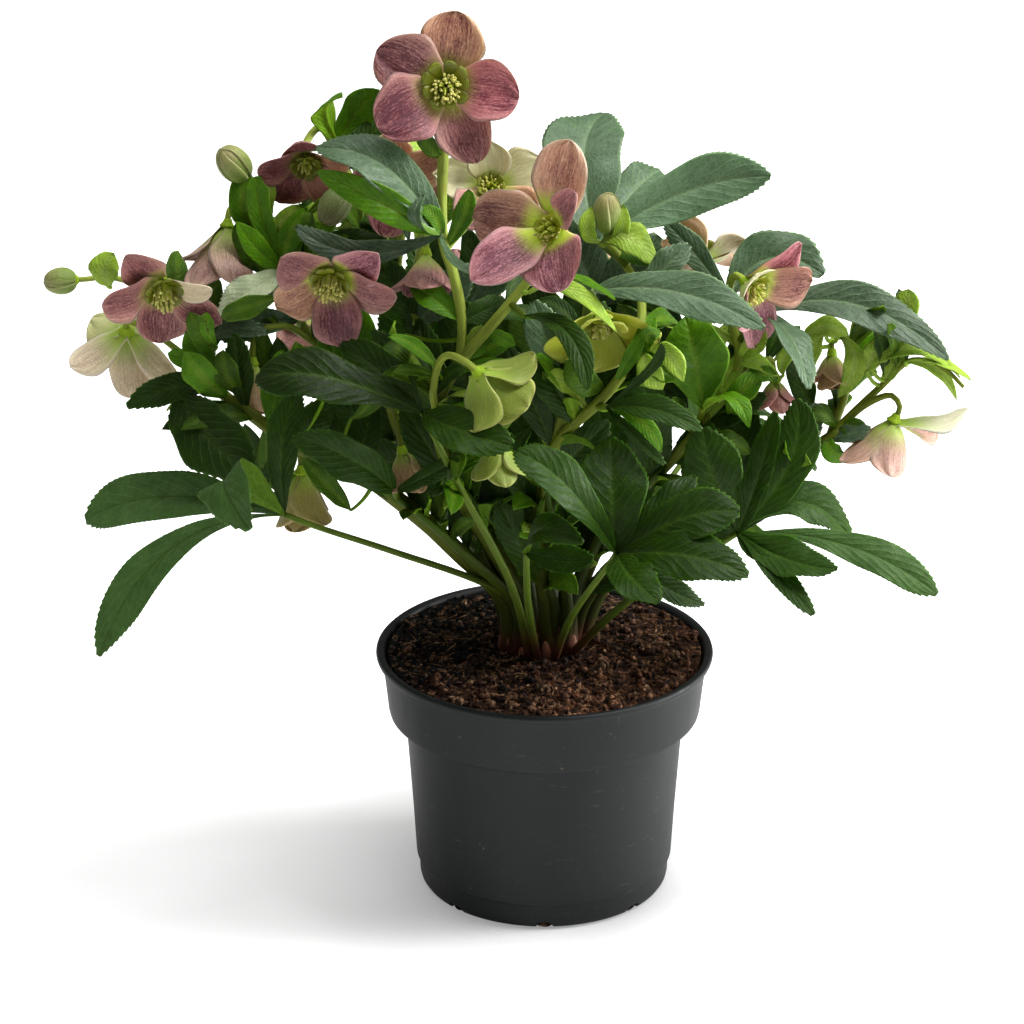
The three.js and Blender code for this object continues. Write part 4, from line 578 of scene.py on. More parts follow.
# Flowers whose five sepals differ from one another.
SEPALS = {
    "flower_top": [
        sepal(81, 0.94, 0.88, 4, TAN, 0.95), sepal(-8, 0.96, 0.84, 0, PINK, 1.0),
        sepal(-70, 1.05, 0.76, -4, MAUVE, 0.95), sepal(-150, 1.05, 0.96, 3, WINE, 1.35),
        sepal(150, 0.98, 0.88, 0, MAUVE, 1.3)],
    "flower_front": [
        sepal(79, 1.2, 0.85, -4, PEACH, 0.7, True), sepal(38, 1.14, 0.5, 26, ROSE, 0.9, True),
        sepal(-60, 1.06, 1.02, 20, ROSE, 1.1, True), sepal(-128, 1.36, 0.8, 18, ROSE, 1.15, True, 0.2),
        sepal(180, 1.04, 0.96, 8, UMBER, 0.9, True)],
    "flower_left": [
        sepal(40, 1.14, 0.78, 6, ROSE, 1.0, True, 0.2), sepal(138, 0.96, 0.94, 4, MAUVE, 0.8, True),
        sepal(210, 1.04, 0.86, 4, TAN, 0.7, True, 0.15), sepal(281, 1.16, 0.9, 0, WINE, 1.1),
        sepal(352, 1.14, 0.8, 0, MAUVE, 0.85, True)],
    "flower_far_left": [
        sepal(126, 1.1, 0.72, 0, MAUVE, 0.8, False, 0.2), sepal(174, 1.1, 0.9, 2, MAUVE, 0.85),
        sepal(268, 1.04, 0.86, 2, MAUVE, 1.0), sepal(328, 1.14, 0.66, 0, MAUVE, 1.0, False, 0.2),
        sepal(16, 0.86, 0.6, 20, PALE, 0.25)],
    "flower_pale_left": [
        sepal(337, 1.0, 0.64, -8), sepal(269, 1.0, 0.7, 4), sepal(221, 1.05, 0.54, 0),
        sepal(120, 0.7, 0.8, -6, CREAM, 0.1), sepal(48, 0.7, 0.8, -10, CREAM, 0.1)],
    "flower_pale_side": [
        sepal(176, 0.84, 0.94, -6, FADED, 0.7), sepal(104, 1.1, 0.9, 2, FADED, 0.8),
        sepal(36, 1.06, 0.84, 2, FADED, 0.8), sepal(318, 0.9, 0.8, -2, FADED),
        sepal(248, 0.9, 0.8, -4, FADED)],
    "flower_dark_nodding": [
        sepal(98, 0.8, 0.9, 8, WINE, 1.0), sepal(170, 1.08, 0.9, 0, WINE, 1.1),
        sepal(238, 1.08, 0.96, 0, WINE, 1.2), sepal(306, 1.0, 0.8, 6, DUSK, 0.5),
        sepal(22, 1.0, 0.72, 6, TAN, 0.7)],
    "flower_right": [
        sepal(44, 1.02, 0.66, 0, PINK, 1.0, True), sepal(1, 1.08, 0.8, 0, DUSK, 0.9, True),
        sepal(-74, 1.12, 0.8, 0, ROSE, 1.1), sepal(210, 0.84, 0.7, 14, ROSE, 0.6),
        sepal(132, 0.74, 0.8, 16, CREAM, 0.1)],
    "flower_peach": [
        sepal(74, 1.2, 0.6, 0, PEACH), sepal(170, 0.88, 0.76, 0, BLUSH), sepal(18, 0.8, 0.7, 0, PEACH),
        sepal(232, 0.95, 0.85, 0, PEACH), sepal(300, 0.95, 0.85, 0, BLUSH)],
    "flower_far_right": [
        sepal(350, 0.82, 0.86, 38, FADED, 0.7), sepal(80, 0.92, 0.72, 30, FADED, 0.5),
        sepal(160, 0.9, 0.8, 30, FADED), sepal(236, 1.0, 0.62, -24, FADED, 0.8),
        sepal(284, 1.06, 0.66, -56, IVORY, 0.2, False, 0.3)],
    "flower_behind_leaf": [
        sepal(104, 1.05, 0.9, 0, TAN, 0.5), sepal(36, 1.05, 0.9, 0, TAN, 0.6),
        sepal(-38, 1.08, 0.95, 0, MAUVE, 1.0), sepal(-108, 1.15, 1.0, 0, MAUVE, 1.1),
        sepal(178, 1.0, 0.9, 0, MAUVE, 1.0)],
    "flower_inner": [
        sepal(96, 1.34, 1.05, 10, WINE, 1.0), sepal(20, 1.22, 0.95, 8, WINE),
        sepal(168, 1.22, 0.95, 8, WINE), sepal(238, 1.0, 0.95, 6, WINE), sepal(308, 1.0, 0.95, 6, WINE)],
    "flower_bell": [
        sepal(198, 1.08, 1.1, -20, LIT_LEMON), sepal(268, 1.08, 1.15, -22, LIT_LEMON),
        sepal(342, 1.16, 1.15, -20, LIT_LEMON), sepal(52, 0.6, 0.85, -8, LIT_LEMON),
        sepal(128, 0.6, 0.85, -8, LIT_LEMON)],
    "flower_low_left": [
        sepal(280, 0.84, 1.0, 1, OLIVE), sepal(350, 0.78, 0.95, 3, OLIVE), sepal(60, 0.78, 0.95, 3, OLIVE),
        sepal(130, 0.78, 0.95, 3, OLIVE), sepal(205, 0.82, 0.95, 1, OLIVE)],
    "flower_upright": [
        sepal(20, 1.1, 0.9, 0, CREAM, 0.15, False, 0.5), sepal(95, 0.9, 0.85, 10, CREAM, 0.1, False, 0.5),
        sepal(165, 1.05, 0.85, -6, CREAM, 0.15, False, 0.4), sepal(235, 1.1, 0.95, 0, MAUVE, 0.9),
        sepal(305, 1.1, 1.0, 4, TAN, 0.9)],
}

# Flowers with a look of their own, in the same slot.
REFINED = {"flower_dark_nodding": WINE, "flower_inner": WINE, "flower_pale_side": BLUSH,
           "flower_right": DUSK, "flower_peach": PEACH, "flower_pale_left": BLUSH}
# The nectaries' size and brightness, the stamens' length and the number of stamens, against the usual.
NECTARIES = {"flower_front": (0.6, 2.6), "flower_right": (0.85, 1.5), "flower_upright": (0.8, 1.3)}
STAMEN_REACH = {"flower_left": 1.5, "flower_far_left": 1.35, "flower_top": 1.12}
STAMENS = {"flower_top": 76, "flower_front": 16, "flower_left": 60}
NO_NECTARIES = "flower_far_right"
# The bud behind a leaf, painted darker as painted shade.
PAINTED_SHADE_BUD = "bud_behind_leaf"

# How light or dark each leaflet of a leaf is painted, against the rule: painted light above 1, painted shade
# below 1.
PAINTED_LEAFLET_LIGHT = {
    "leaf_low_left": [2.4, 2.3, 1.9, 0.9],
    "leaf_centre_left": [0.5, 0.8, 1.0],
    "leaf_top_right": [1.2, 1.1, 1.75],
    "leaf_low_right": [1.5, 2.1, 1.3, 1.0, 1.0, 1.0, 1.2],
    "leaf_front": [1.15, 0.9, 0.8, 0.75, 0.8, 0.9, 0.7],
    "leaf_under_top_flower": [1.1, 0.9, 1, 0.9, 1],
}
# How wide single leaflets are and how late their blades start, against the rule, by leaf and number.
SLENDER = {
    ("leaf_drooping", 0): 0.6, ("leaf_centre", 0): 0.75, ("leaf_centre", 1): 0.75, ("leaf_centre", 2): 0.4,
    ("leaf_low_left", 0): 0.88, ("leaf_low_left", 1): 0.74, ("leaf_low_right", 1): 0.66,
    ("leaf_low_right", 2): 0.85, ("leaf_far_right", 0): 0.82, ("leaf_behind_right", 0): 0.65,
    ("stem_centre", 8): 0.5,
}
STALKED = {
    ("leaf_low_left", 0): 1.4, ("leaf_low_left", 1): 1.9, ("leaf_low_right", 0): 1.6,
    ("leaf_low_right", 1): 2.3, ("leaf_low_right", 6): 1.5,
}
# Leaflets with a look of their own, and a short one that the CAD leaves out.
OTHER_LOOKS = {("leaf_under_top_flower", 1): BRIGHT_LEAF, ("stem_centre", 8): BRIGHT_LEAF,
               ("leaf_upper_left", 2): CREAM_LEAF}
EXTRA_LEAFLETS = {"leaf_low_right": [leaflet([88, -64, 168], [104, -82, 155], 9, FRONT_UP)]}


# ------------------------------------------------------------------ small maths

def unit(v):
    """Vectors of length 1 with the same directions."""
    v = np.asarray(v, float)
    return v / np.maximum(np.linalg.norm(v, axis=-1, keepdims=True), 1e-9)


def smooth(x, low, high):
    """0 up to low and 1 from high on, with a smooth step between them. It falls where high is below low."""
    t = np.clip((np.asarray(x, float) - low) / (high - low), 0, 1)
    return t * t * (3 - 2 * t)


def mix(a, b, share):
    """Blends colours a and b by an array of shares."""
    share = np.asarray(share, float)[..., None]
    return a * (1 - share) + b * share


def spline(points, step):
    """Points about step apart on a smooth line through these points."""
    p = np.array(points, float)
    ends = [2 * p[0] - p[1], *p, 2 * p[-1] - p[-2]]
    line = []
    for a, b, c, d in zip(ends, ends[1:], ends[2:], ends[3:]):
        gaps = [max(np.linalg.norm(y - x), 1e-6) ** 0.5 for x, y in ((a, b), (b, c), (c, d))]
        knots = np.cumsum([0, *gaps])
        count = max(2, math.ceil(np.linalg.norm(c - b) / step))
        t = np.linspace(knots[1], knots[2], count, endpoint=False)[:, None]

        def between(x, y, i, j):
            return ((knots[j] - t) * x + (t - knots[i]) * y) / (knots[j] - knots[i])

        ab, bc, cd = between(a, b, 0, 1), between(b, c, 1, 2), between(c, d, 2, 3)
        line.append(between(between(ab, bc, 0, 2), between(bc, cd, 1, 3), 1, 2))
    return np.vstack([*line, p[-1:]])


def wrapped(near, far=None):
    """Rows that run along the near side and back along the far side, as one ring."""
    return np.concatenate([near, (near if far is None else far)[:, -2:0:-1]], 1)


def wrapped_v(v):
    """The V coordinates of such a ring, which need one more value to close it."""
    return np.concatenate([wrapped(v), v[:, :1]], 1)


def frames(line):
    """Tangents and two steady side directions along a line."""
    tangents = unit(np.gradient(line, axis=0))
    side = np.array([1.0, 0, 0]) if abs(tangents[0][2]) > 0.8 else np.array([0, 0, 1.0])
    sides = []
    for tangent in tangents:
        side = unit(side - tangent * side.dot(tangent))
        sides.append(side)
    sides = np.array(sides)
    return tangents, sides, np.cross(tangents, sides)


# ------------------------------------------------------------------ skins

class Skin:
    """Surfaces gathered into one mesh. Points are in millimetres. Tint is a vertex colour,
    and place is (share of the way along, share of the way to the edge, a random number)."""

    def __init__(self):
        self.points, self.tints, self.places = [], [], []
        self.faces = {3: [], 4: []}
        self.count = 0

    def add(self, points, tint, place):
        """Adds points, and gives their numbers."""
        shape = points.shape[:-1]
        self.points.append(points.reshape(-1, 3))
        self.tints.append(np.broadcast_to(tint, (*shape, 3)).reshape(-1, 3))
        self.places.append(np.broadcast_to(place, (*shape, 3)).reshape(-1, 3))
        size = len(self.points[-1])
        self.count += size
        return self.count - size + np.arange(size).reshape(shape)

    def face(self, corners, uvs, kinds):
        """Adds faces of three or four corners each, with their materials."""
        sides = corners.shape[-1]
        corners = corners.reshape(-1, sides)
        kinds = np.broadcast_to(kinds, len(corners))
        self.faces[sides].append((corners, uvs.reshape(-1, sides, 2), kinds))

    def grid(self, points, tint, place, u, v, kinds, wrap=False):
        """A grid of points, rows by columns. u is along the rows, v across them with one
        more value where it wraps, and kinds is the material of each column of faces."""
        index = self.add(points, tint, place)
        if wrap:
            index = np.hstack([index, index[:, :1]])
        rows, columns = index.shape
        uv = np.stack(np.broadcast_arrays(
            np.asarray(u, float).reshape(rows, -1), np.asarray(v, float).reshape(-1, columns)), -1)
        early, late = slice(None, -1), slice(1, None)
        corners = [(early, early), (early, late), (late, late), (late, early)]
        quads = np.stack([index[c] for c in corners], -1)
        self.face(quads, np.stack([uv[c] for c in corners], -2),
                  np.broadcast_to(kinds, (rows - 1, columns - 1)).reshape(-1))
        return index

    def cap(self, ring, centre, tint, place, kind, last):
        """Closes the end of a wrapped grid round a point."""
        middle = self.add(np.asarray(centre, float)[None], tint, place)[0]
        ring = ring[:-1]
        pair = (ring, np.roll(ring, -1)) if last else (np.roll(ring, -1), ring)
        corners = np.stack([*pair, np.full(len(ring), middle)], -1)
        self.face(corners, np.zeros((len(ring), 3, 2)), kind)

    def shell(self, points, tint, place, u, v, kind, first=None, last=None, kinds=None):
        """A wrapped grid closed at both ends, round the points first and last or else round the
        middles of its end rows. kinds is as for a grid, where it isn't kind all over."""
        index = self.grid(points, tint, place, u, v, kind if kinds is None else kinds, wrap=True)
        tint, place = np.broadcast_to(tint, points.shape), np.broadcast_to(place, points.shape)
        first = points[0].mean(0) if first is None else first
        last = points[-1].mean(0) if last is None else last
        self.cap(index[0], first, tint[0, 0], place[0, 0], kind, False)
        self.cap(index[-1], last, tint[-1, 0], place[-1, 0], kind, True)

    def tube(self, line, radii, tint, rnd=0.0, sides=10, kind=0, ribs=0.0, rib_count=5, flat=1.0):
        """A stem along a line, with a radius for each point, closed at both ends."""
        line = np.asarray(line, float)
        _, a, b = frames(line)
        radii = np.broadcast_to(np.asarray(radii, float), len(line))
        angles = np.linspace(0, 2 * np.pi, sides, endpoint=False)
        swell = 1 + ribs * np.cos(rib_count * angles)
        ring = (a[:, None] * (np.cos(angles) * swell)[None, :, None]
                + b[:, None] * (np.sin(angles) * swell * flat)[None, :, None])
        points = line[:, None] + ring * radii[:, None, None]
        along = np.concatenate([[0], np.cumsum(np.linalg.norm(np.diff(line, axis=0), axis=1))])
        place = np.zeros((len(line), sides, 3))
        place[..., 0] = (along / max(along[-1], 1e-6))[:, None]
        place[..., 2] = rnd
        tint = np.broadcast_to(np.asarray(tint, float), (len(line), 3))
        around = np.linspace(0, 2 * np.pi * radii.mean(), sides + 1)
        self.shell(points, tint[:, None], place, along, around, kind, line[0], line[-1])

    def mesh(self, name, materials):
        """The gathered surfaces as one mesh, with its UV map and its two vertex colours."""
        points, tints, places = (np.vstack(a) for a in (self.points, self.tints, self.places))
        corners, uvs, kinds, sizes = [], [], [], []
        for sides, groups in self.faces.items():
            for face, uv, kind in groups:
                corners.append(face.ravel())
                uvs.append(uv.reshape(-1, 2))
                kinds.append(kind)
                sizes.append(np.full(len(face), sides))
        corners, uvs, kinds, sizes = (np.concatenate(a) for a in (corners, uvs, kinds, sizes))
        mesh = bpy.data.meshes.new(name)
        mesh.vertices.add(len(points))
        mesh.vertices.foreach_set("co", (points * MM).astype(np.float32).ravel())
        mesh.loops.add(len(corners))
        mesh.loops.foreach_set("vertex_index", corners.astype(np.int32))
        mesh.polygons.add(len(sizes))
        starts = np.concatenate([[0], np.cumsum(sizes)[:-1]])
        mesh.polygons.foreach_set("loop_start", starts.astype(np.int32))
        mesh.polygons.foreach_set("material_index", kinds.astype(np.int32))
        mesh.polygons.foreach_set("use_smooth", np.ones(len(sizes), bool))
        layer = mesh.uv_layers.new(name="Surface")
        layer.data.foreach_set("uv", uvs.astype(np.float32).ravel())
        for attribute, values in (("Tint", tints), ("Place", places)):
            colours = np.concatenate([values, np.ones((len(values), 1))], 1)
            data = mesh.attributes.new(attribute, "FLOAT_COLOR", "POINT").data
            data.foreach_set("color", colours.astype(np.float32).ravel())
        for material in materials:
            mesh.materials.append(material)
        mesh.update()
        mesh.validate()
        return mesh

    def piece(self, name, materials, slot, *nodes):
        """The mesh as an object that stands for those CAD nodes."""
        made = bpy.data.objects.new(name, self.mesh(name, materials))
        bpy.context.scene.collection.objects.link(made)
        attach(made, "root")
        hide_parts(*nodes)
        return made


# ------------------------------------------------------------------ leaves

TOOTH = 2.5  # from one tooth of a leaf's margin to the next
PLAIN_STEP = 5  # the same for the rows of a blade without teeth
TOOTH_DEPTH = 0.3
FOLD = 22.0  # degrees by which the halves of a blade rise from its rib
TWIST = 16  # degrees by which a blade turns round its rib, at the most
VEIN_STEP = 8  # from one side vein to the next
EDGE_THICK, MIDDLE_THICK, RIB_THICK = 0.28, 0.3, 1.0  # what each adds to a blade's thickness
PETIOLE_RADIUS, PETIOLE_TAPER = 1.7, 0.5
LINE_STEP = 4  # from one point of a leaf's stalk to the next
SHEEN_PAINT_GREY = np.array([0.02, 0.018, 0.024])  # the painted grey sheen that a blade painted lighter gains
ACROSS = np.array([-1, -0.93, -0.76, -0.48, -0.2, -0.06, 0, 0.06, 0.2, 0.48, 0.76, 0.93, 1])
ACROSS_PLAIN = np.array([-1, -0.8, -0.4, 0, 0.4, 0.8, 1])
LEAF_UPPER, LEAF_UNDER, LEAF_STALK, LEAF_BLUE = 0, 1, 2, 3
LEAF_BOW = 0.12  # how far a stem's leaf bows, as a share of its length


def outline(t, foot, point):
    """A leaflet's width along its length, as a share of its greatest."""
    peak = foot / (foot + point)
    return t ** foot * (1 - t) ** point / (peak ** foot * (1 - peak) ** point) + 0.05 * (1 - t)


def blade(skin, base, mid, tip, width, faces, look, rng, toothed=True, plain=False, light=None,
          stalked=1.0):
    """One leaflet: a keeled, veined blade with a toothed margin. A plain one has fewer points."""
    places_across = ACROSS_PLAIN if plain else ACROSS
    base, mid, tip = (np.array(p, float) for p in (base, mid, tip))
    control = 2 * mid - (base + tip) / 2
    length = (np.linalg.norm(control - base) + np.linalg.norm(tip - control)
              + np.linalg.norm(tip - base)) / 2
    teeth = max(6, round(length / PLAIN_STEP)) if plain else max(8, round(length / TOOTH))
    t = np.linspace(0, 1, 2 * teeth + 1)
    q = t[:, None]
    line = (1 - q) ** 2 * base + 2 * q * (1 - q) * control + q ** 2 * tip
    tangent = unit(2 * (1 - q) * (control - base) + 2 * q * (tip - control) + 1e-6)
    level = np.cross(faces, tip - base)
    across = unit(level - tangent * (tangent @ level)[:, None])
    normal = np.cross(tangent, across)
    twist = np.radians(rng.uniform(-TWIST, TWIST)) * (q - 0.25)
    across, normal = (across * np.cos(twist) + normal * np.sin(twist),
                      normal * np.cos(twist) - across * np.sin(twist))

    s, side = places_across[None], np.abs(places_across)[None]
    half = (width / 2 * outline(t, rng.uniform(0.75, 1.05) * stalked, rng.uniform(0.64, 0.88)))[:, None]
    on_edge = smooth(side, 0.93, 1)
    tooth = (np.arange(len(t)) % 2) * smooth(t, 0.12, 0.3) * (1 - smooth(t, 0.95, 1))
    tooth = tooth[:, None] * (TOOTH_DEPTH if toothed else 0) * rng.uniform(0.6, 1.2, (len(t), 1))
    margin = rng.uniform(0, 2 * np.pi, 2)
    bulges = rng.uniform(1.2, 2.6, 2)
    sway = np.where(s > 0, *(np.sin(2 * np.pi * bulge * q + start) for bulge, start in zip(bulges, margin)))
    reach = s * half * (1 + 0.07 * sway * smooth(side, 0.1, 1)) + np.sign(s) * tooth * on_edge
    forward = 0.9 * (length / len(t)) * (tooth > 0) * on_edge
    keel = np.radians(FOLD * (1 - 0.55 * q)) * rng.uniform(0.6, 1.3)
    phase = rng.uniform(0, 2 * np.pi, 2)
    waves = rng.uniform(1.5, 3)
    wave = np.where(s > 0, *(np.sin(2 * np.pi * waves * q + start) for start in phase))
    lift = np.abs(reach) * np.sin(keel) - 0.16 * half * s ** 2
    lift = lift + wave * s ** 2 * np.minimum(half * 0.09, 0.9)
    veins = max(4, round(length / VEIN_STEP))
    ripple = 0.13 * np.cos(2 * np.pi * (veins * q - 0.9 * side)) * smooth(side, 0.05, 0.3)
    lift = lift + ripple * (1 - smooth(side, 0.8, 1)) * np.minimum(half / 8, 1)
    lift = lift - 0.4 * (1 - smooth(side, 0, 0.12)) * np.minimum(half / 5, 1)
    top = (line[:, None] + across[:, None] * (reach * np.cos(keel))[..., None]
           + normal[:, None] * lift[..., None] + tangent[:, None] * forward[..., None])
    rib = (1 - smooth(side, 0, 0.13)) * (1 - 0.7 * q)
    thick = EDGE_THICK + MIDDLE_THICK * (1 - side ** 2) + RIB_THICK * rib
    points = wrapped(top, top - normal[:, None] * thick[..., None])

    count = len(places_across)
    rnd = rng.uniform()
    # A leaflet listed with its painted light or shade takes that; the others differ at random. One painted
    # lighter also gains a painted grey sheen.
    shade = light or 0.75 + 0.5 * rnd
    speckle = 1 + 0.05 * rng.standard_normal((len(t), count))
    sheen_paint = SHEEN_PAINT_GREY * max(0.0, shade - 1)
    upper = np.broadcast_to(look["top"] * shade + sheen_paint, (len(t), count, 3)) * speckle[..., None]
    upper = mix(upper, look["rib"], 0.55 * (1 - smooth(side, 0, 0.1)) * (1 - 0.6 * q))
    upper = mix(upper, look["rib"], 0.22 * smooth(side, 0.9, 1) * np.ones_like(q))
    lower = np.broadcast_to(look["under"] * (0.9 + 0.2 * rnd), (len(t), count, 3))
    lower = mix(lower, look["rib"], 0.6 * (1 - smooth(side, 0, 0.14)) * np.ones_like(q))
    place = np.stack(np.broadcast_arrays(q, side, rnd), -1)
    v = wrapped_v(s * half)
    u = np.repeat(q * length, v.shape[1], 1)
    face_kind = LEAF_BLUE if look is BLUE_LEAF else LEAF_UPPER
    kinds = np.where(np.arange(2 * count - 2) < count - 1, face_kind, LEAF_UNDER)
    skin.shell(points, wrapped(upper, lower), wrapped(place), u, v, LEAF_UNDER, kinds=kinds[None])


def leaf_piece(name, spec, rng):
    """A leaf: its stalk and its leaflets."""
    skin = Skin()
    look = spec["finish"]
    stalk = spec["stalk"]
    line = spline(stalk, LINE_STEP)
    share = np.linspace(0, 1, len(line))
    # Painted shade: the stalk's green darkens towards the soil, deep in the plant.
    green = PETIOLE_GREEN * (0.3 + 0.7 * smooth(line[:, 2], 112, 205))[:, None]
    tint = mix(mix(STEM_RED, green, smooth(line[:, 2], 104, 130)), look["rib"], 0.35 * share)
    skin.tube(line, PETIOLE_RADIUS - PETIOLE_TAPER * share, tint, rng.uniform(), 12, LEAF_STALK, 0.07, 4)
    joint = np.array(stalk[-1], float)
    leaflets = spec["leaflets"] + EXTRA_LEAFLETS.get(name, [])
    light = PAINTED_LEAFLET_LIGHT.get(name, [None] * len(leaflets))
    for number, (part, shade) in enumerate(zip(leaflets, light)):
        one = (name, number)
        finish = OTHER_LOOKS.get(one, look)
        width = part["width"] * SLENDER.get(one, 1)
        blade(skin, part["start"] or joint, part["mid"], part["tip"], width, part["faces"], finish, rng,
              toothed=finish is not BRIGHT_LEAF, light=shade, stalked=STALKED.get(one, 1.0))
    return skin.piece(name, LEAF_MATERIALS, look["slot"], name)


# ------------------------------------------------------------------ flowers

SEPAL_ACROSS = np.linspace(-1, 1, 15)
SEPAL_ROWS = 24
OVERLAP = [-4, 4, -4, 4, 0]  # degrees by which a sepal lies over (or under) its neighbours
ROLL = 0.12  # the last one is under the neighbour before it, and over the first
SEPAL_FOOT = 1.2  # from the flower's middle to the foot of a sepal
TURN = 6.28  # a full turn, for phases
SCOOPS, CARPELS = 9, 4
USUAL_RADIUS = 30  # of the flower that the sizes of nectaries, stamens and carpels are given for
RECEPTACLE = (-3.4, -2.2, -0.8, 0.6)  # its levels, from the stem to inside the flower
ANTHER = (-0.3, 0.3, 0.9, 1.5, 1.9)  # its levels, from its stamen's end
FULL_TUFT, SMALL_TUFT, SMALL_FLOWER = 34, 14, 19  # stamens in a flower, and the radius of a small one
BUD_SEPALS, BUD_ROWS, BUD_COLUMNS = 5, 22, 17
BUD_WRAP = 66  # degrees to each side that a bud's sepal reaches round it
PETAL, FLORET, STALK = 0, 1, 2


def sepal_skin(skin, pose, radius, cup, one, look, over, roll, rng):
    """One sepal of a flower: a cupped oval blade that starts at the flower's heart."""
    heart, forward, right, up = pose
    finish = one["finish"] or look
    blush = finish["blush"] if one["blush"] is None else one["blush"]
    angle = math.radians(one["turn"])
    outward = right * math.cos(angle) + up * math.sin(angle)
    sideways = np.cross(forward, outward)
    length, width = radius * one["length"] * 0.96, radius * 0.92 * one["width"]
    r = 1 - (1 - np.linspace(0, 1, SEPAL_ROWS)) ** 1.5
    s = SEPAL_ACROSS[None]
    rise = cup + one["rise"] + over
    flare = 34 - 24 * float(smooth(rise, 40, 60))
    shoulder = -24 * float(smooth(rise, 46, 60)) * (1 - smooth(r, 0.05, 0.42))
    slope = np.radians(rise + 0.47 * flare - flare * r + shoulder + 1.5 * rng.uniform(-1, 1))
    steps = np.diff(r, prepend=0) * length
    reach = SEPAL_FOOT + np.cumsum(steps * np.cos(slope))
    height = np.cumsum(steps * np.sin(slope)) + 0.12 * over
    point = 0.46 + one["point"] + 0.12 * rng.uniform()
    body = np.clip(1 - (np.clip(r - 0.55, 0, 1) / 0.45) ** 2.4, 0, 1) ** point
    wide = width / 2 * (0.44 + 0.56 * smooth(r, 0.0, 0.56)) * body + 0.02
    edges = rng.uniform(0, TURN, 2)
    r, reach, height, slope, wide = (row[:, None] for row in (r, reach, height, slope, wide))
    wavy = np.where(s > 0, *(np.sin(8 * r + edge) for edge in edges))
    a = s * wide * (1 + 0.07 * wavy * smooth(r, 0.25, 0.7))
    a = a + 0.05 * width * rng.uniform(-1, 1) * r ** 2
    reach = reach * (1 - 0.04 * s ** 2 * (1 - r ** 6))
    hollow = 0.42 * a ** 2 / (width * 0.5) * smooth(r, 0.2, 0.75) * (1 - 0.35 * r)
    hollow = hollow + a * roll
    phase = rng.uniform(0, TURN, 3)
    ruffle = radius * 0.02 * np.sin(2.6 * np.pi * s + phase[0] + 3 * r) * smooth(r, 0.5, 1)
    pleats = 0.1 * np.cos(5 * np.pi * s + phase[1]) * (1 - smooth(np.abs(s), 0.7, 1)) * smooth(r, 0.1, 0.3)
    hollow = hollow + ruffle + pleats

    def put(out_by, side_by, forward_by):
        return outward * out_by[..., None] + sideways * side_by[..., None] + forward * forward_by[..., None]

    flat = put(reach - hollow * np.sin(slope), a, height + hollow * np.cos(slope))
    bend = a / np.maximum(reach, 0.3 * length)
    bowl_reach = reach - ruffle - pleats
    bowl = put(bowl_reach * np.cos(bend), bowl_reach * np.sin(bend), height)
    share = smooth(rise, 28, 66)
    inner = heart + flat * (1 - share) + bowl * share
    normal = unit(np.cross(np.gradient(inner, axis=1), np.gradient(inner, axis=0)))
    if (normal[SEPAL_ROWS // 3, len(SEPAL_ACROSS) // 2] @ forward) < 0:
        normal = -normal
    thick = (0.5 - 0.28 * np.abs(s) ** 2)[..., None] * (1 - 0.4 * r)[..., None]

    side = np.abs(s) * np.ones_like(r)
    along = r * np.ones_like(s)
    rnd = rng.uniform()
    tint = mix(finish["throat"], finish["body"], smooth(along + 0.12 * side, 0.24, 0.52))
    # Painted light: a marked sepal's foot turns a brighter lime, as if lit.
    if one["painted_glow"]:
        tint = mix(LIT_FOOT_PAINT, tint, smooth(along, 0.22, 0.42))
    rim = np.maximum(smooth(side, 0.7, 1), smooth(along, 0.85, 1))
    lopsided = 0.5 + 0.5 * s * math.copysign(1, rnd - 0.5)
    tint = mix(tint, finish["edge"], np.clip(0.4 * rim + 0.5 * smooth(lopsided, 0.6, 1), 0, 1))
    tint = tint * (0.92 + 0.16 * rnd)
    green_to = 0.72 if finish["slot"] == "pale_sepal" else 0.55
    back = mix(HEART_GREEN, finish["back"], smooth(along, 0.06, green_to))
    back = mix(back, finish["edge"], 0.5 * rim)
    strength = blush * smooth(along - 0.1 * side, 0.16, 0.42) * (1 - 0.3 * rim)
    strength = strength * (1.08 - 0.4 * smooth(side, 0.25, 1)) * (1 - 0.3 * smooth(lopsided, 0.65, 1))
    strength = strength * (0.75 + 0.25 * smooth(along, 0.3, 0.75))
    inside, outside = (np.stack([along, veins, np.full_like(along, rnd)], -1)
                       for veins in (strength, strength * 0.75))
    v = wrapped_v(0.5 * a + 0.22 * s * width)
    u = np.repeat(r * length, v.shape[1], 1)
    skin.shell(wrapped(inner, inner - normal * thick), wrapped(tint, back), wrapped(inside, outside),
               u + 40 * rnd, v, PETAL)


def pose_of(spec):
    """A flower's heart, and its own forward, right and up."""
    forward = unit(np.array(spec["axis"], float))
    right = unit(np.cross(UP, forward))
    return np.array(spec["at"], float), forward, right, np.cross(forward, right)


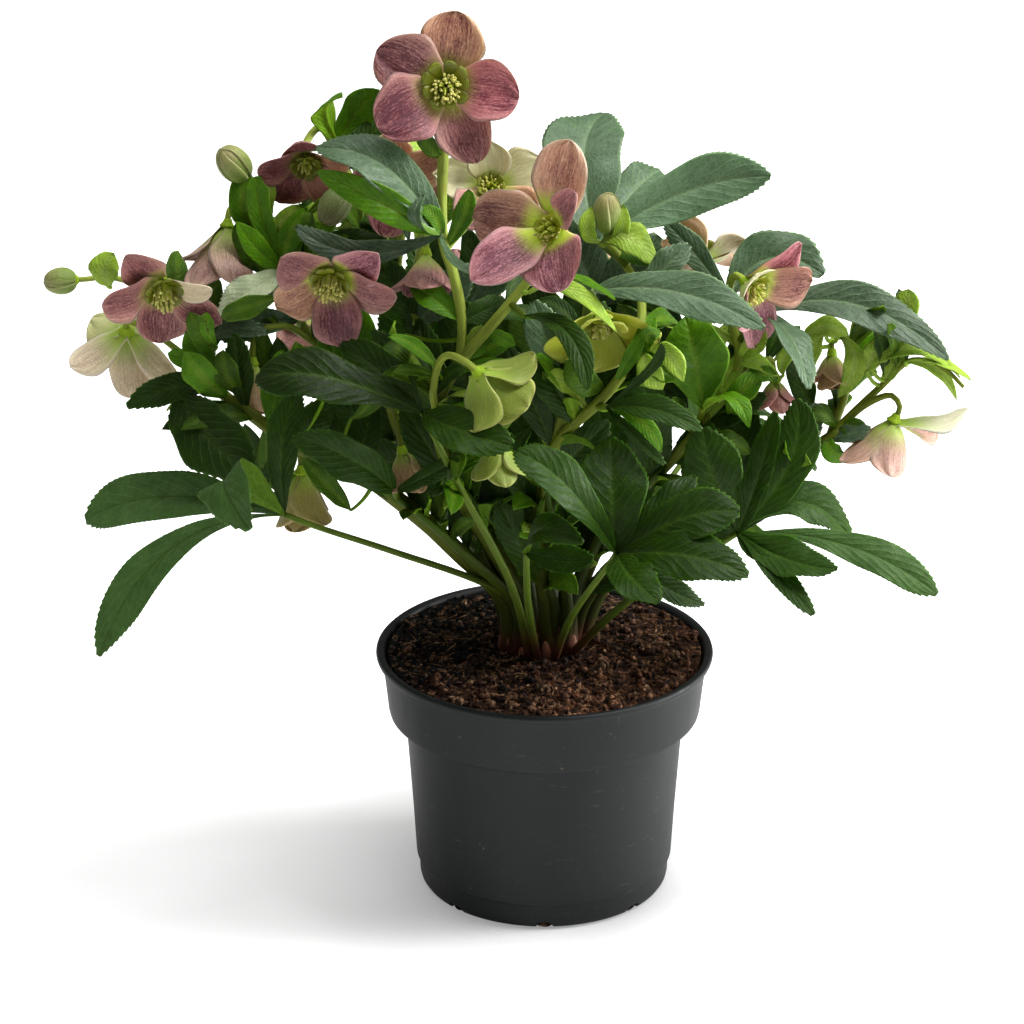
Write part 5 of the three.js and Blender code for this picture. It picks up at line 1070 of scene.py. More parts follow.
def nectary(skin, heart, way, forward, scale, tint, cup):
    """One of the scoops that ring the stamens: a flattened cup that leans outwards."""
    side = np.cross(forward, way)
    path = np.array([
        (1.8, 0.5), (3.8, 0.6), (5.6, 0.8), (7.1, 0.9), (8.3, 0.9), (9.0, 1.1), (8.7, 1.5)]) * scale
    tuck = float(smooth(cup, 36, 56))
    path[:, 0] *= 1 - 0.5 * tuck
    path[:, 1] += path[:, 0] * math.tan(math.radians(min(cup + 18, 48)))
    halves = np.array([0.6, 1.2, 1.9, 2.4, 2.6, 2.2, 1.2]) * scale
    depths = np.array([0.35, 0.5, 0.7, 0.8, 0.75, 0.5, 0.22]) * scale
    run = np.gradient(path, axis=0)
    run = run / np.linalg.norm(run, axis=1, keepdims=True)
    angles = np.linspace(0, 2 * np.pi, 14, endpoint=False)
    middle = heart + way * path[:, :1] + forward * path[:, 1:]
    inward = -way * run[:, 1:] + forward * run[:, :1]
    dish = 0.5 * np.cos(angles)[None] ** 2 * halves[:, None] * 0.5
    points = (middle[:, None] + side * (halves[:, None] * np.cos(angles))[..., None]
              + inward[:, None] * (depths[:, None] * np.sin(angles) + dish)[..., None])
    along = np.linspace(0, 1, len(path))
    tints = mix(HEART_GREEN, tint, smooth(along, 0.05, 0.3))
    tints = mix(tints, HEART_GREEN, 0.35 * smooth(along, 0.9, 1))
    around = np.arange(len(angles) + 1.0)
    skin.shell(points, tints[:, None], (0, 0, 0.5), along, around, FLORET, middle[0], middle[-1])


def anthers(skin, name, pose, radius, cup, count, reach, rng):
    """The ring of nectaries, the tuft of stamens and the carpels."""
    heart, forward, right, up = pose
    scale = radius / USUAL_RADIUS

    def out(angle):
        return right * math.cos(angle) + up * math.sin(angle)

    size, bright = NECTARIES.get(name, (1, 1))
    for i in range(0 if name == NO_NECTARIES else SCOOPS):
        angle = 2 * math.pi * (i + rng.uniform(-0.1, 0.1)) / SCOOPS
        nectary(skin, heart, out(angle), forward, size * scale * rng.uniform(0.92, 1.05),
                NECTARY_GREEN * bright * rng.uniform(0.7, 1.15), cup)
    down = np.array([0, 0, -1.0])
    droop = down * max(0.0, 0.32 - 0.3 * forward.dot(UP)) * reach
    for i in range(count):
        way = out(rng.uniform(0, 2 * math.pi))
        spread = rng.uniform(0, 1) ** 0.8
        foot = heart + way * scale * rng.uniform(0.6, 1.8) + forward * 0.4
        tall = scale * reach * rng.uniform(5.5, 8.5) * (1 - 0.25 * spread)
        lean = unit(forward + way * spread * 0.75 + droop * rng.uniform(0.5, 1))
        end = foot + lean * tall + droop * tall * 0.2
        path = spline([foot, foot + unit(lean + way * 0.3) * tall * 0.5, end], 1.6)
        shade = STAMEN_CREAM * rng.uniform(0.75, 1.02)
        tint = mix(CARPEL_GREEN * 0.9, shade, np.linspace(0.5, 1, len(path)))
        skin.tube(path, 0.24 * scale + 0.04, tint, rng.uniform(), 4, FLORET)
        tip = np.array([end + lean * beyond for beyond in ANTHER])
        size = np.array([0.24, 0.52, 0.58, 0.46, 0.14]) * (0.5 + 0.5 * scale)
        skin.tube(tip, size, shade * rng.uniform(0.95, 1.1), rng.uniform(), 6, FLORET)
    for i in range(CARPELS):
        way = out(2 * math.pi * i / CARPELS + rng.uniform(-0.3, 0.3))
        path = spline([heart + way * scale + forward * 0.4,
                       heart + way * 1.8 * scale + forward * 4 * scale,
                       heart + way * 1.4 * scale + forward * 8 * scale,
                       heart + way * 2.6 * scale + forward * 11 * scale + droop * 2], 0.8)
        size = np.interp(np.linspace(0, 1, len(path)), [0, 0.25, 0.55, 0.7, 1], [1.0, 1.5, 1.0, 0.35, 0.24])
        skin.tube(path, size * scale, CARPEL_GREEN * rng.uniform(0.85, 1.05), rng.uniform(), 8, FLORET)


def flower_piece(name, spec, rng):
    """A flower: five sepals, what they hold, and the receptacle behind them."""
    skin = Skin()
    pose = pose_of(spec)
    heart, forward = pose[0], pose[1]
    radius, look = spec["radius"], REFINED.get(name, spec["finish"])
    ordinary = [sepal(spec["turn"] + 72 * i, rng.uniform(0.94, 1.04), rng.uniform(0.96, 1.08),
                      rng.uniform(-4, 4)) for i in range(5)]
    order = SEPALS.get(name, ordinary)
    onward = (order[4]["turn"] - order[3]["turn"]) % 360 < 180
    for one, over in zip(order, OVERLAP):
        roll = 0 if over else ROLL if onward else -ROLL
        sepal_skin(skin, pose, radius, spec["cup"], one, look, over, roll, rng)
    back = spline([heart + forward * level for level in RECEPTACLE], 0.5)
    size = np.interp(np.linspace(0, 1, len(back)), [0, 0.4, 0.8, 1],
                     [1.5, 2.0, 0.1 * radius + 0.6, 0.07 * radius])
    skin.tube(back, size, HEART_GREEN, 0.5, 14, STALK)
    count = STAMENS.get(name, FULL_TUFT if radius > SMALL_FLOWER else SMALL_TUFT)
    anthers(skin, name, pose, radius, spec["cup"], count, STAMEN_REACH.get(name, 1.0), rng)
    return skin.piece(name, FLOWER_MATERIALS, look["slot"], name)


def bud_piece(name, spec, rng):
    """A closed bud: five sepals wrapped round one another, and its green foot."""
    skin = Skin()
    # Painted shade: the bud behind a leaf is darker all over.
    tone = 0.55 if name == PAINTED_SHADE_BUD else 1.0
    heart, forward, right, up = pose_of(spec)
    radius, reach = spec["radius"], spec["reach"]
    t = np.linspace(0, 1, BUD_ROWS)
    profile = np.sqrt(np.clip(1 - (2 * t - 1) ** 2, 0, 1)) ** 0.9 * (1 + 0.12 * (0.5 - t))
    for i in range(BUD_SEPALS):
        s = np.linspace(-1, 1, BUD_COLUMNS)
        angle = 2 * np.pi * i * 2 / BUD_SEPALS + s[None] * np.radians(BUD_WRAP) * (1 - 0.3 * t[:, None] ** 3)
        size = radius * (0.9 + 0.028 * i) * profile[:, None] * (1 - 0.03 * np.abs(s[None]) ** 4)
        ring = right * np.cos(angle)[..., None] + up * np.sin(angle)[..., None]
        level = forward * (reach * (2 * t - 1) * (1 + 0.01 * i))[:, None, None]
        outer = heart + ring * size[..., None] + level
        inner = heart + ring * (size * 0.93)[..., None] + level * 0.99
        side = np.abs(s)[None] * np.ones((len(t), 1))
        along = t[:, None] * np.ones((1, len(s)))
        tint = mix(BUD_FOOT, BUD_TIP, smooth(along, 0.2, 1))
        tint = mix(tint, BUD_EDGE, 0.5 * smooth(side, 0.75, 1))
        tint = mix(tint, BUD_FLUSH, 0.25 * rng.uniform() * smooth(along, 0.6, 1))
        place = np.stack([along, 0.5 * along, np.full_like(along, rng.uniform())], -1)
        v = wrapped_v(s[None] * radius * np.ones((len(t), 1)))
        u = np.repeat(t[:, None] * 2 * reach, v.shape[1], 1)
        skin.grid(wrapped(outer, inner), wrapped(tint) * tone, wrapped(place), u, v, PETAL, wrap=True)
    foot = spline([heart - forward * (reach + level) for level in (0.8, 0, -1.5)], 0.4)
    skin.tube(foot, np.linspace(1.2, radius * 0.55, len(foot)), HEART_GREEN, 0.5, 12, STALK)
    return skin.piece(name, FLOWER_MATERIALS, "lime_sepal", name)


# ------------------------------------------------------------------ stems

SMALL_LEAF_SHARE = 0.6  # of the points along a stem that start a small leaf
SMALL_LEAF_BOX = np.array([(-160, -84, 128.0), (148, 110, 330.0)])  # where their tips may be
SMALL_LEAF_LENGTH = (16, 38)
LOWEST_START = 135  # above which small leaves start
TRIES = 6
STEM_STEP = 3  # from one point of a stem's line to the next
STEM_SIDES, STEM_RIBS, RIB_DEPTH = 15, 5, 0.05
STRAP_TOP = 196
STRAP_SEED, SMALL_LEAF_SEED = 900, 500
NEAR = 2  # a bract that starts this near to a stem has no stalk
# The stems whose small leaves are lighter, and the looks to choose from on them and on the others.
LIME_STEMS = ("stem_far_right", "stem_right", "stem_back_left")
LIME_LOOKS = [DARK_LEAF, MID_LEAF, MID_LEAF, BRIGHT_LEAF, LIME_BRACT, LIME_BRACT]
SMALL_LOOKS = [DARK_LEAF, DARK_LEAF, MID_LEAF, MID_LEAF, MID_LEAF, BRIGHT_LEAF, BRIGHT_LEAF, LIME_BRACT]


def seat(name):
    """The last points of a branch: behind what it carries, then just inside its back."""
    carried = FLOWERS.get(name) or BUDS[name]
    depth = carried.get("reach", 2.6)
    forward = unit(np.array(carried["axis"], float))
    return [np.array(carried["at"], float) - forward * back for back in (depth + 4, depth - 0.9)]


def clear_of_flowers(points):
    """Whether a small leaf keeps out of every flower and bud, and out of the front of them."""
    for spec in (*FLOWERS.values(), *BUDS.values()):
        gap = points - spec["at"]
        if (np.linalg.norm(gap, axis=1) < spec["radius"] * 1.02 + 1).any():
            return False
        shown_at = np.hypot(gap[:, 0], gap[:, 2] + 0.4 * gap[:, 1])
        if ((shown_at < spec["radius"] * 1.12) & (gap[:, 1] < 0)).any():
            return False
    return True


def kept_bare(tip):
    """Whether the photograph shows no small leaves there: low at the left, and at the top left."""
    return (tip[0] < -18 and tip[2] < 172 and tip[1] < 40) or (tip[0] < -70 and tip[2] > 308)


def small_leaves(skin, name, line, rng):
    """Narrow leaves and bracts along a stem, between its larger ones."""
    low, high = SMALL_LEAF_BOX
    tangents, a, b = frames(line)
    for index in range(2, len(line) - 2):
        start = line[index]
        if start[2] < LOWEST_START or rng.uniform() > SMALL_LEAF_SHARE:
            continue
        for _ in range(TRIES):
            angle = rng.uniform(0, 2 * np.pi)
            out = a[index] * np.cos(angle) + b[index] * np.sin(angle)
            way = unit(tangents[index] * rng.uniform(0.3, 1.2) + out + (0, 0, rng.uniform(-0.1, 0.5)))
            long = rng.uniform(*SMALL_LEAF_LENGTH)
            tip = start + way * long + (0, 0, -rng.uniform(0, 0.25) * long)
            mid = start + way * long * 0.5 + (0, 0, 0.07 * long)
            if (tip < low).any() or (tip > high).any() or kept_bare(tip):
                continue
            if not clear_of_flowers(np.array([mid, tip])):
                continue
            looks = LIME_LOOKS if name in LIME_STEMS else SMALL_LOOKS
            look = looks[int(rng.integers(len(looks)))]
            faces = unit(np.array([rng.uniform(-0.7, 0.7), rng.uniform(-1, -0.2), rng.uniform(0.3, 1.2)]))
            blade(skin, start, mid, tip, long * rng.uniform(0.2, 0.34), tuple(faces), look, rng,
                  toothed=False, plain=True)
            break


def centre_line(part):
    """The line of a branch, through its own points and to the seat of what it carries."""
    return spline([*part["points"], *(seat(part["carries"]) if part["carries"] else [])], STEM_STEP)


def carrier(point):
    """The stem nearest to a point, and where on it."""
    near = []
    for name, lines in STEM_LINES.items():
        for line in lines:
            gaps = np.linalg.norm(line - point, axis=1)
            near.append((gaps.min(), name, tuple(line[gaps.argmin()])))
    return min(near)[1:]


STEM_LINES = {name: [centre_line(part) for part in branches] for name, branches in STEMS.items()}


def straps(skin, line, rng):
    """Flat leaf stalks that rise beside a stem and join it."""
    low = line[line[:, 2] < STRAP_TOP]
    t = np.linspace(0, 1, len(low))
    out = unit(np.array([low[-1][0] - low[0][0], low[-1][1] - low[0][1], 0]) + 1e-6)
    side = np.array([-out[1], out[0], 0])
    for way in (-1, 1):
        reach = rng.uniform(6, 12)
        bulge = (side * way + out * rng.uniform(-0.7, 0.1)) * reach
        path = low + bulge * (np.sin(np.pi * t ** 0.8) * 0.8 + 0.35 * (1 - t))[:, None]
        green = mix(STEM_GREEN * 0.8, MID_LEAF["top"], t) * rng.uniform(0.6, 1.1)
        # Painted shade: the straps darken towards the soil, deep in the plant.
        green = green * (0.22 + 0.6 * smooth(path[:, 2], 112, 190))[:, None]
        tint = mix(STEM_RED, green, smooth(path[:, 2], 105, 120))
        size = rng.uniform(2.3, 3.2) * (1 - 0.6 * t) * (1 - 0.5 * smooth(t, 0.9, 1))
        skin.tube(path, size, tint, rng.uniform(), 10, LEAF_STALK, 0.05, 4, 0.6)


def stem_blades(skin, name, rng):
    """The larger leaves of a stem, which are in the CAD as well."""
    for number, (start, end, width, faces, look) in enumerate(STEM_LEAVES[name]):
        one = (name, number)
        look = LIME_BRACT if name in LIME_STEMS and look is BRIGHT_LEAF else look
        look = OTHER_LOOKS.get(one, look)
        base, tip = np.array(start, float), np.array(end, float)
        bow = unit(np.array(faces, float)) * LEAF_BOW * np.linalg.norm(tip - base)
        blade(skin, base, (base + tip) / 2 + bow, tip, width * SLENDER.get(one, 1), faces, look, rng,
              toothed=look is not LIME_BRACT and look is not BRIGHT_LEAF)


def stem_bracts(skin, name, rng):
    """The bracts whose nearest stem this is, some of them on a stalk of their own."""
    for *places, width, faces, look in BRACTS:
        start, mid, tip = (from_picture(*place) for place in places)
        holder, foot = carrier(start)
        if holder != name:
            continue
        if math.dist(foot, start) > NEAR:
            into = start + (mid - start) * 0.06
            stalk = spline([foot, (np.array(foot) + start) / 2 - (0, 0, 1.5), start, into], 1.5)
            skin.tube(stalk, np.linspace(1.0, 0.6, len(stalk)), look["under"], 0.5, 7, LEAF_STALK)
        else:
            start = np.array(foot)
        blade(skin, start, mid, tip, width, faces, look, rng, toothed=False, plain=True)


def stem_piece(name, branches, rng):
    """A stem with its side branches and all that grows on them."""
    skin = Skin()
    for number, part in enumerate(branches):
        line = centre_line(part)
        share = np.linspace(0, 1, len(line))
        radii = part["thick"] + (part["thin"] - part["thick"]) * share
        wobble = [noise.noise(Vector(p * 0.06)) for p in line]
        radii = radii * (1 + 0.12 * np.array(wobble))
        if number == 0:
            radii = radii * (1 + 0.25 * (1 - smooth(line[:, 2], 104, 124)))
            straps(skin, line, np.random.default_rng(STRAP_SEED + len(name) * 7))
        green = mix(STEM_GREEN, STEM_PALE, smooth(line[:, 2], 190, 320) * 0.8 + 0.1)
        # Painted shade: the green darkens towards the soil, deep in the plant.
        green = green * (0.2 + 0.8 * smooth(line[:, 2], 112, 230))[:, None]
        tint = mix(STEM_RED, green, smooth(line[:, 2], 104, 120))
        skin.tube(line, radii, tint, rng.uniform(), STEM_SIDES, LEAF_STALK, RIB_DEPTH, STEM_RIBS)
        small_leaves(skin, name, line, np.random.default_rng(SMALL_LEAF_SEED + len(name) * 17 + number))
    stem_blades(skin, name, rng)
    stem_bracts(skin, name, rng)
    return skin.piece(name, LEAF_MATERIALS, "stem", name)


# ------------------------------------------------------------------ pot, soil and crown

POT_SIDES = 144
POT_ROUND, SOIL_ROUND, CROWN_ROUND = 440, 400, 90  # how far their surfaces measure round, for the UVs
# The pot's section, from the middle of its foot, up its outside, over its lip and down to its floor.
POT_SECTION = np.array([
    (0, 0), (30, 0), (46.5, 0), (49.6, 0.25), (51.2, 1.0), (52.1, 2.4), (52.5, 4.2),
    (52.7, 10.9), (53.05, 11.4), (53.6, 11.8), (53.85, 12.3), (53.95, 13.2), (55.2, 35), (56.6, 55),
    (57.9, 73.5), (58.2, 75.6), (58.9, 76.2), (61.5, 76.5), (63.6, 76.9), (64.6, 77.8), (65.0, 79.4),
    (65.9, 88), (66.9, 97), (67.35, 100.6), (67.6, 101.3), (68.6, 101.5), (69.5, 102.0), (69.9, 102.9),
    (70.0, 103.6), (69.8, 104.4), (69.3, 104.9), (68.6, 105), (67.6, 104.9), (66.6, 104.2), (66.1, 103),
    (65.4, 98), (64.0, 84), (63.4, 79.6), (62.4, 78.4), (58.4, 78), (56.9, 76.8), (56.5, 75),
    (55.0, 50), (53.0, 20), (51.0, 4.6), (48.8, 2.0), (45, 1.8), (0, 1.8)])
DRAIN_HOLES = 8
DRAIN_ANGLES = [2 * math.pi * (i + 1) / DRAIN_HOLES for i in range(DRAIN_HOLES)]
DRAIN_REACH, DRAIN_RADIUS, DRAIN_DEPTH = 48.5, 4.5, 6.8

SOIL_SIDES = 200
SOIL_RADII = np.linspace(0.6, 65, 84)
SOIL_LEVEL = 104.8
SOIL_FLOOR = 2.4
# The root ball's section under its top edge, inside the pot.
SOIL_BELOW = [(64.4, 96), (62.8, 82), (61, 79.6), (57.4, 79.2), (55.8, 76), (50.6, 6), (47, SOIL_FLOOR),
              (0.6, SOIL_FLOOR)]
PLUG_REACH = 47.4
PLUG_RADII = [3.4, 4.0, 4.2, 4.2, 4.2]
CRUMBS, CRUMB_REACH = 1100, 64.5
GRIT_SHARE = 0.09
FIBRES, FIBRE_REACH, FIBRE_LIMIT = 360, 60, 63

CROWN_SIZE = (18, 13.4, 8.6)
CROWN_LEVEL = 100
CROWN_SIDES = 48
SHEATHS = 3  # round the foot of each stem


def pot_piece():
    """The pot: its turned section, and the drain holes cut out of it."""
    angles = np.linspace(0, 2 * np.pi, POT_SIDES, endpoint=False)
    ring = np.stack([np.cos(angles), np.sin(angles), 0 * angles], -1)
    rows = POT_SECTION[1:-1]
    points = ring[None] * rows[:, 0, None, None] + np.array(UP) * rows[:, 1, None, None]
    along = np.concatenate([[0], np.cumsum(np.linalg.norm(np.diff(rows, axis=0), axis=1))])
    around = np.linspace(0, POT_ROUND, POT_SIDES + 1)
    skin = Skin()
    skin.shell(points, POT_TINT, (0, 0, 0), along, around, 0,
               (0, 0, POT_SECTION[0][1]), (0, 0, POT_SECTION[-1][1]))
    pot = skin.piece("pot", [POT_MATERIAL], "pot_plastic", "pot")
    for angle in DRAIN_ANGLES:
        centre = (DRAIN_REACH * MM * math.cos(angle), DRAIN_REACH * MM * math.sin(angle), 0)
        bpy.ops.mesh.primitive_cylinder_add(
            vertices=32, radius=DRAIN_RADIUS * MM, depth=DRAIN_DEPTH * MM, location=centre)
        cutter = bpy.context.object
        cut = pot.modifiers.new("Drain", "BOOLEAN")
        cut.operation = "DIFFERENCE"
        cut.solver = "EXACT"
        cut.object = cutter
        cutter.hide_render = True
        evaluated = pot.evaluated_get(bpy.context.evaluated_depsgraph_get())
        mesh = bpy.data.meshes.new_from_object(evaluated)
        pot.modifiers.clear()
        pot.data = mesh
        bpy.data.objects.remove(cutter)
    return pot


def soil_height(x, y):
    """The soil's surface, in millimetres, at a point of it."""
    far = math.hypot(x, y)
    level = SOIL_LEVEL - 1.5 * float(smooth(far, 20, 62))
    rough = 1.6 * noise.noise((x * 0.045, y * 0.045, 1.7))
    rough += 0.9 * noise.noise((x * 0.16, y * 0.16, 5.1)) + 0.55 * noise.noise((x * 0.45, y * 0.45, 9.3))
    return level + rough * min(1, (66 - far) / 8)


def peat_tint(warm, red):
    """The colour of peat, from black to brown, with a share of red."""
    return mix(mix(PEAT_BLACK, PEAT_BROWN, warm), PEAT_RED, red)


def soil_body(skin):
    """The root ball, with its rough top."""
    angles = np.linspace(0, 2 * np.pi, SOIL_SIDES, endpoint=False)
    rows, tints = [], []
    for radius in SOIL_RADII:
        row, shades = [], []
        for angle in angles:
            x, y = radius * math.cos(angle), radius * math.sin(angle)
            row.append((x, y, soil_height(x, y)))
            # The x - y term is painted light and shade: lighter and browner to the right and front, darker
            # to the left and back.
            warm = 0.34 + 0.5 * noise.noise((x * 0.03, y * 0.03, 3.3)) + 0.009 * (x - y)
            fleck = 0.5 + 0.5 * noise.noise((x * 0.7, y * 0.7, 2.2))
            warm = np.clip(warm, 0, 1)
            shades.append(peat_tint(warm, warm * fleck * 0.6))
        rows.append(row)
        tints.append(shades)
    for radius, z in SOIL_BELOW:
        rows.append([(radius * math.cos(a), radius * math.sin(a), z) for a in angles])
        tints.append([PEAT_BLACK] * len(angles))
    index = skin.grid(np.array(rows), np.array(tints), (0, 0, 0.5), np.arange(len(rows)) * 0.7,
                      np.linspace(0, SOIL_ROUND, SOIL_SIDES + 1), 0, wrap=True)
    skin.cap(index[0], (0, 0, soil_height(0, 0)), PEAT_BLACK, (0, 0, 0.5), 0, False)
    skin.cap(index[-1], (0, 0, SOIL_FLOOR), PEAT_BLACK, (0, 0, 0.5), 0, True)
    # Peat plugs in the drain holes, in the blackest peat colour: real peat, and painted shade for the dark
    # inside the holes.
    for angle in DRAIN_ANGLES:
        foot = np.array([PLUG_REACH * math.cos(angle), PLUG_REACH * math.sin(angle), 0])
        plug = foot + np.array([[0, 0, z] for z in np.linspace(0.7, 4, len(PLUG_RADII))])
        skin.tube(plug, PLUG_RADII, PEAT_BLACK, 0.5, 20, 0, 0.04, 5)


def scattered(rng, reach, least):
    """A place on the soil, evenly scattered from its middle to reach."""
    far = reach * math.sqrt(rng.uniform(least, 1))
    angle = rng.uniform(0, 2 * math.pi)
    return far * math.cos(angle), far * math.sin(angle)


def soil_crumbs(skin, rng):
    """Crumbs of peat, and some grit."""
    bpy.ops.mesh.primitive_ico_sphere_add(subdivisions=2, radius=1)
    ball = bpy.context.object
    shape = np.array([v.co[:] for v in ball.data.vertices])
    tris = np.array([p.vertices[:] for p in ball.data.polygons])
    bpy.data.objects.remove(ball)
    for number in range(CRUMBS):
        x, y = scattered(rng, CRUMB_REACH, 0.03)
        size = rng.uniform(0.55, 1.5) * (1 + 1.5 * rng.uniform() ** 6)
        stretch = rng.uniform(0.5, 1.25, 3)
        turn = np.linalg.qr(rng.standard_normal((3, 3)))[0]
        if np.linalg.det(turn) < 0:
            turn = -turn
        dents = 1 + 0.3 * np.array([noise.noise(Vector(p * 1.7 + number)) for p in shape])
        crumb = (shape * dents[:, None] * stretch * size) @ turn
        crumb = crumb + (x, y, soil_height(x, y) + 0.25 * size)
        # The x - y term is painted light and shade: lighter and browner to the right and front, darker to
        # the left and back.
        warm = np.clip(0.28 + 0.009 * (x - y) + 0.32 * rng.standard_normal(), 0, 1)
        tint = peat_tint(warm, 0.5 * rng.uniform() * warm)
        if rng.uniform() < GRIT_SHARE:
            tint = GRIT * rng.uniform(0.6, 1)
        index = skin.add(crumb, tint, (0, 0, rng.uniform()))
        skin.face(index[tris], np.zeros((len(tris), 3, 2)), 0)


def soil_fibres(skin, rng):
    """Coir fibres that lie on the soil."""
    for _ in range(FIBRES):
        x, y = scattered(rng, FIBRE_REACH, 0.05)
        way = rng.uniform(0, 2 * math.pi)
        reach = rng.uniform(2.5, 8)
        path = []
        for step in np.linspace(-1, 1, 5):
            bend = rng.uniform(-0.8, 0.8)
            px = x + reach * step * math.cos(way) - bend * math.sin(way)
            py = y + reach * step * math.sin(way) + bend * math.cos(way)
            if math.hypot(px, py) > FIBRE_LIMIT:
                break
            path.append((px, py, soil_height(px, py) + rng.uniform(0.3, 1.1) * (1 - 0.6 * abs(step))))
        if len(path) < 3:
            continue
        tint = mix(COIR_DARK, COIR_LIGHT, rng.uniform()) * rng.uniform(0.45, 1)
        skin.tube(spline(path, 2.0), rng.uniform(0.1, 0.24), tint, rng.uniform(), 4, 0)


def soil_piece(rng):
    """The root ball with the peat in the drain holes, and with crumbs and fibres on it."""
    skin = Skin()
    soil_body(skin)
    soil_crumbs(skin, rng)
    soil_fibres(skin, rng)
    return skin.piece("soil", [SOIL_MATERIAL], "peat", "soil")


def crown_piece(rng):
    """The rhizome: a knobbly body with papery sheaths round the feet of the stems."""
    skin = Skin()
    t = np.linspace(0.02, np.pi - 0.02, 26)
    angles = np.linspace(0, 2 * np.pi, CROWN_SIDES, endpoint=False)
    shape = np.stack([np.sin(t)[:, None] * np.cos(angles), np.sin(t)[:, None] * np.sin(angles),
                      -np.cos(t)[:, None] * np.ones(CROWN_SIDES)], -1)
    lumps = np.array([[noise.noise(Vector(p * 2.4)) for p in row] for row in shape])
    points = shape * CROWN_SIZE * (1 + 0.16 * lumps[..., None]) + (0, 0, CROWN_LEVEL)
    tint = mix(CROWN_DARK, CROWN_LIGHT, np.clip(0.5 + lumps, 0, 1))
    around = np.linspace(0, CROWN_ROUND, CROWN_SIDES + 1)
    skin.shell(points, tint, (0, 0, 0.4), t * 12, around, 0,
               (0, 0, CROWN_LEVEL - CROWN_SIZE[2]), (0, 0, CROWN_LEVEL + CROWN_SIZE[2]))
    for branches in STEMS.values():
        foot, following = (np.array(p, float) for p in branches[0]["points"][:2])
        way = unit(following - foot)
        for turn in range(SHEATHS):
            angle = turn * 2.1 + rng.uniform(0, 1)
            out = unit(np.array([math.cos(angle), math.sin(angle), 0]))
            start = foot - way * 3 + out * 3.4
            path = spline([start, start + way * 6 + out * 0.5, start + way * rng.uniform(10, 17)], 1.2)
            share = np.linspace(0, 1, len(path))
            size = 2.6 * np.sqrt(1 - share ** 2) + 0.1
            tint = mix(SHEATH_RED, SHEATH_TAN, share)
            skin.tube(path, size, tint, rng.uniform(), 10, 0, 0, 5, 0.35)
    return skin.piece("crown", [CROWN_MATERIAL], "rhizome", "crown")


# ------------------------------------------------------------------ materials

class Graph:
    """A short way to write a material's nodes."""

    def __init__(self, name):
        self.material = bpy.data.materials.new(name)
        self.material.use_nodes = True
        self.nodes = self.material.node_tree.nodes
        self.links = self.material.node_tree.links
        self.shader = self.nodes["Principled BSDF"]

    def node(self, kind, inputs=(), **settings):
        """A node of that kind, with its settings and inputs."""
        made = self.nodes.new("ShaderNode" + kind)
        for key, value in settings.items():
            setattr(made, key, value)
        for key, value in dict(inputs).items():
            self.put(made.inputs[key], value)
        return made

    def put(self, socket, value):
        """Links a socket to another, or gives it a fixed value."""
        if isinstance(value, bpy.types.NodeSocket):
            self.links.new(value, socket)
        else:
            socket.default_value = value

    def math(self, operation, a, b=0.0, clamp=False):
        made = self.node("Math", {0: a, 1: b}, operation=operation, use_clamp=clamp)
        return made.outputs[0]

    def scaled(self, vector, scale):
        """A vector times another, part by part."""
        return self.node("VectorMath", {0: vector, 1: scale}, operation="MULTIPLY").outputs[0]

    def noise(self, vector, scale, detail=3.0, rough=0.55):
        """A noise texture, from 0 to 1."""
        inputs = {"Vector": vector, "Scale": scale, "Detail": detail, "Roughness": rough}
        return self.node("TexNoise", inputs).outputs["Fac"]

    def net(self, vector, scale):
        """Distance to the edge of a cell, small on the lines of a net."""
        inputs = {"Vector": vector, "Scale": scale}
        return self.node("TexVoronoi", inputs, feature="DISTANCE_TO_EDGE").outputs["Distance"]

    def span(self, value, low, high, to_low=0.0, to_high=1.0):
        """A smooth step of a value from one span to another."""
        inputs = {"Value": value, "From Min": low, "From Max": high, "To Min": to_low, "To Max": to_high}
        return self.node("MapRange", inputs, interpolation_type="SMOOTHSTEP").outputs[0]

    def blend(self, share, a, b, mode="MIX"):
        """Two colours blended by a share."""
        made = self.node("Mix", data_type="RGBA", blend_type=mode, clamp_factor=True)
        for socket, value in zip((made.inputs[0], made.inputs[6], made.inputs[7]), (share, a, b)):
            self.put(socket, value)
        return made.outputs[2]

    def times(self, tint, share):
        """A colour times these shares of red, green and blue."""
        return self.blend(1.0, tint, (*share, 1), "MULTIPLY")

    def plus(self, tint, more):
        """A colour with this much more red, green and blue."""
        return self.blend(1.0, tint, (*more, 1), "ADD")

    def ridge(self, value, width):
        """1 where a value is 0, down to 0 where it reaches width."""
        return self.math("SUBTRACT", 1.0, self.span(value, 0.0, width))

    def tint(self):
        return self.node("Attribute", attribute_name="Tint").outputs["Color"]

    def place(self):
        """The parts of the vertex colour Place, which the Skin class describes."""
        colour = self.node("Attribute", attribute_name="Place").outputs["Color"]
        return self.node("SeparateColor", {0: colour}).outputs

    def surface(self):
        return self.node("UVMap", uv_map="Surface").outputs[0]

    def object_place(self):
        return self.node("TexCoord").outputs["Object"]

    def finish(self, colour, roughness, height=None, strength=0.3, distance=0.0005, **fixed):
        """Gives the shader its colour, roughness, bumps and fixed values, and gives back the material."""
        self.put(self.shader.inputs["Base Color"], colour)
        self.put(self.shader.inputs["Roughness"], roughness)
        if height is not None:
            bump = self.node("Bump", {"Height": height, "Strength": strength, "Distance": distance})
            self.links.new(bump.outputs[0], self.shader.inputs["Normal"])
        for key, value in fixed.items():
            self.shader.inputs[key.replace("_", " ")].default_value = value
        return self.material


def solid(colour):
    """A colour as a socket takes it."""
    return (*(float(value) for value in colour), 1.0)


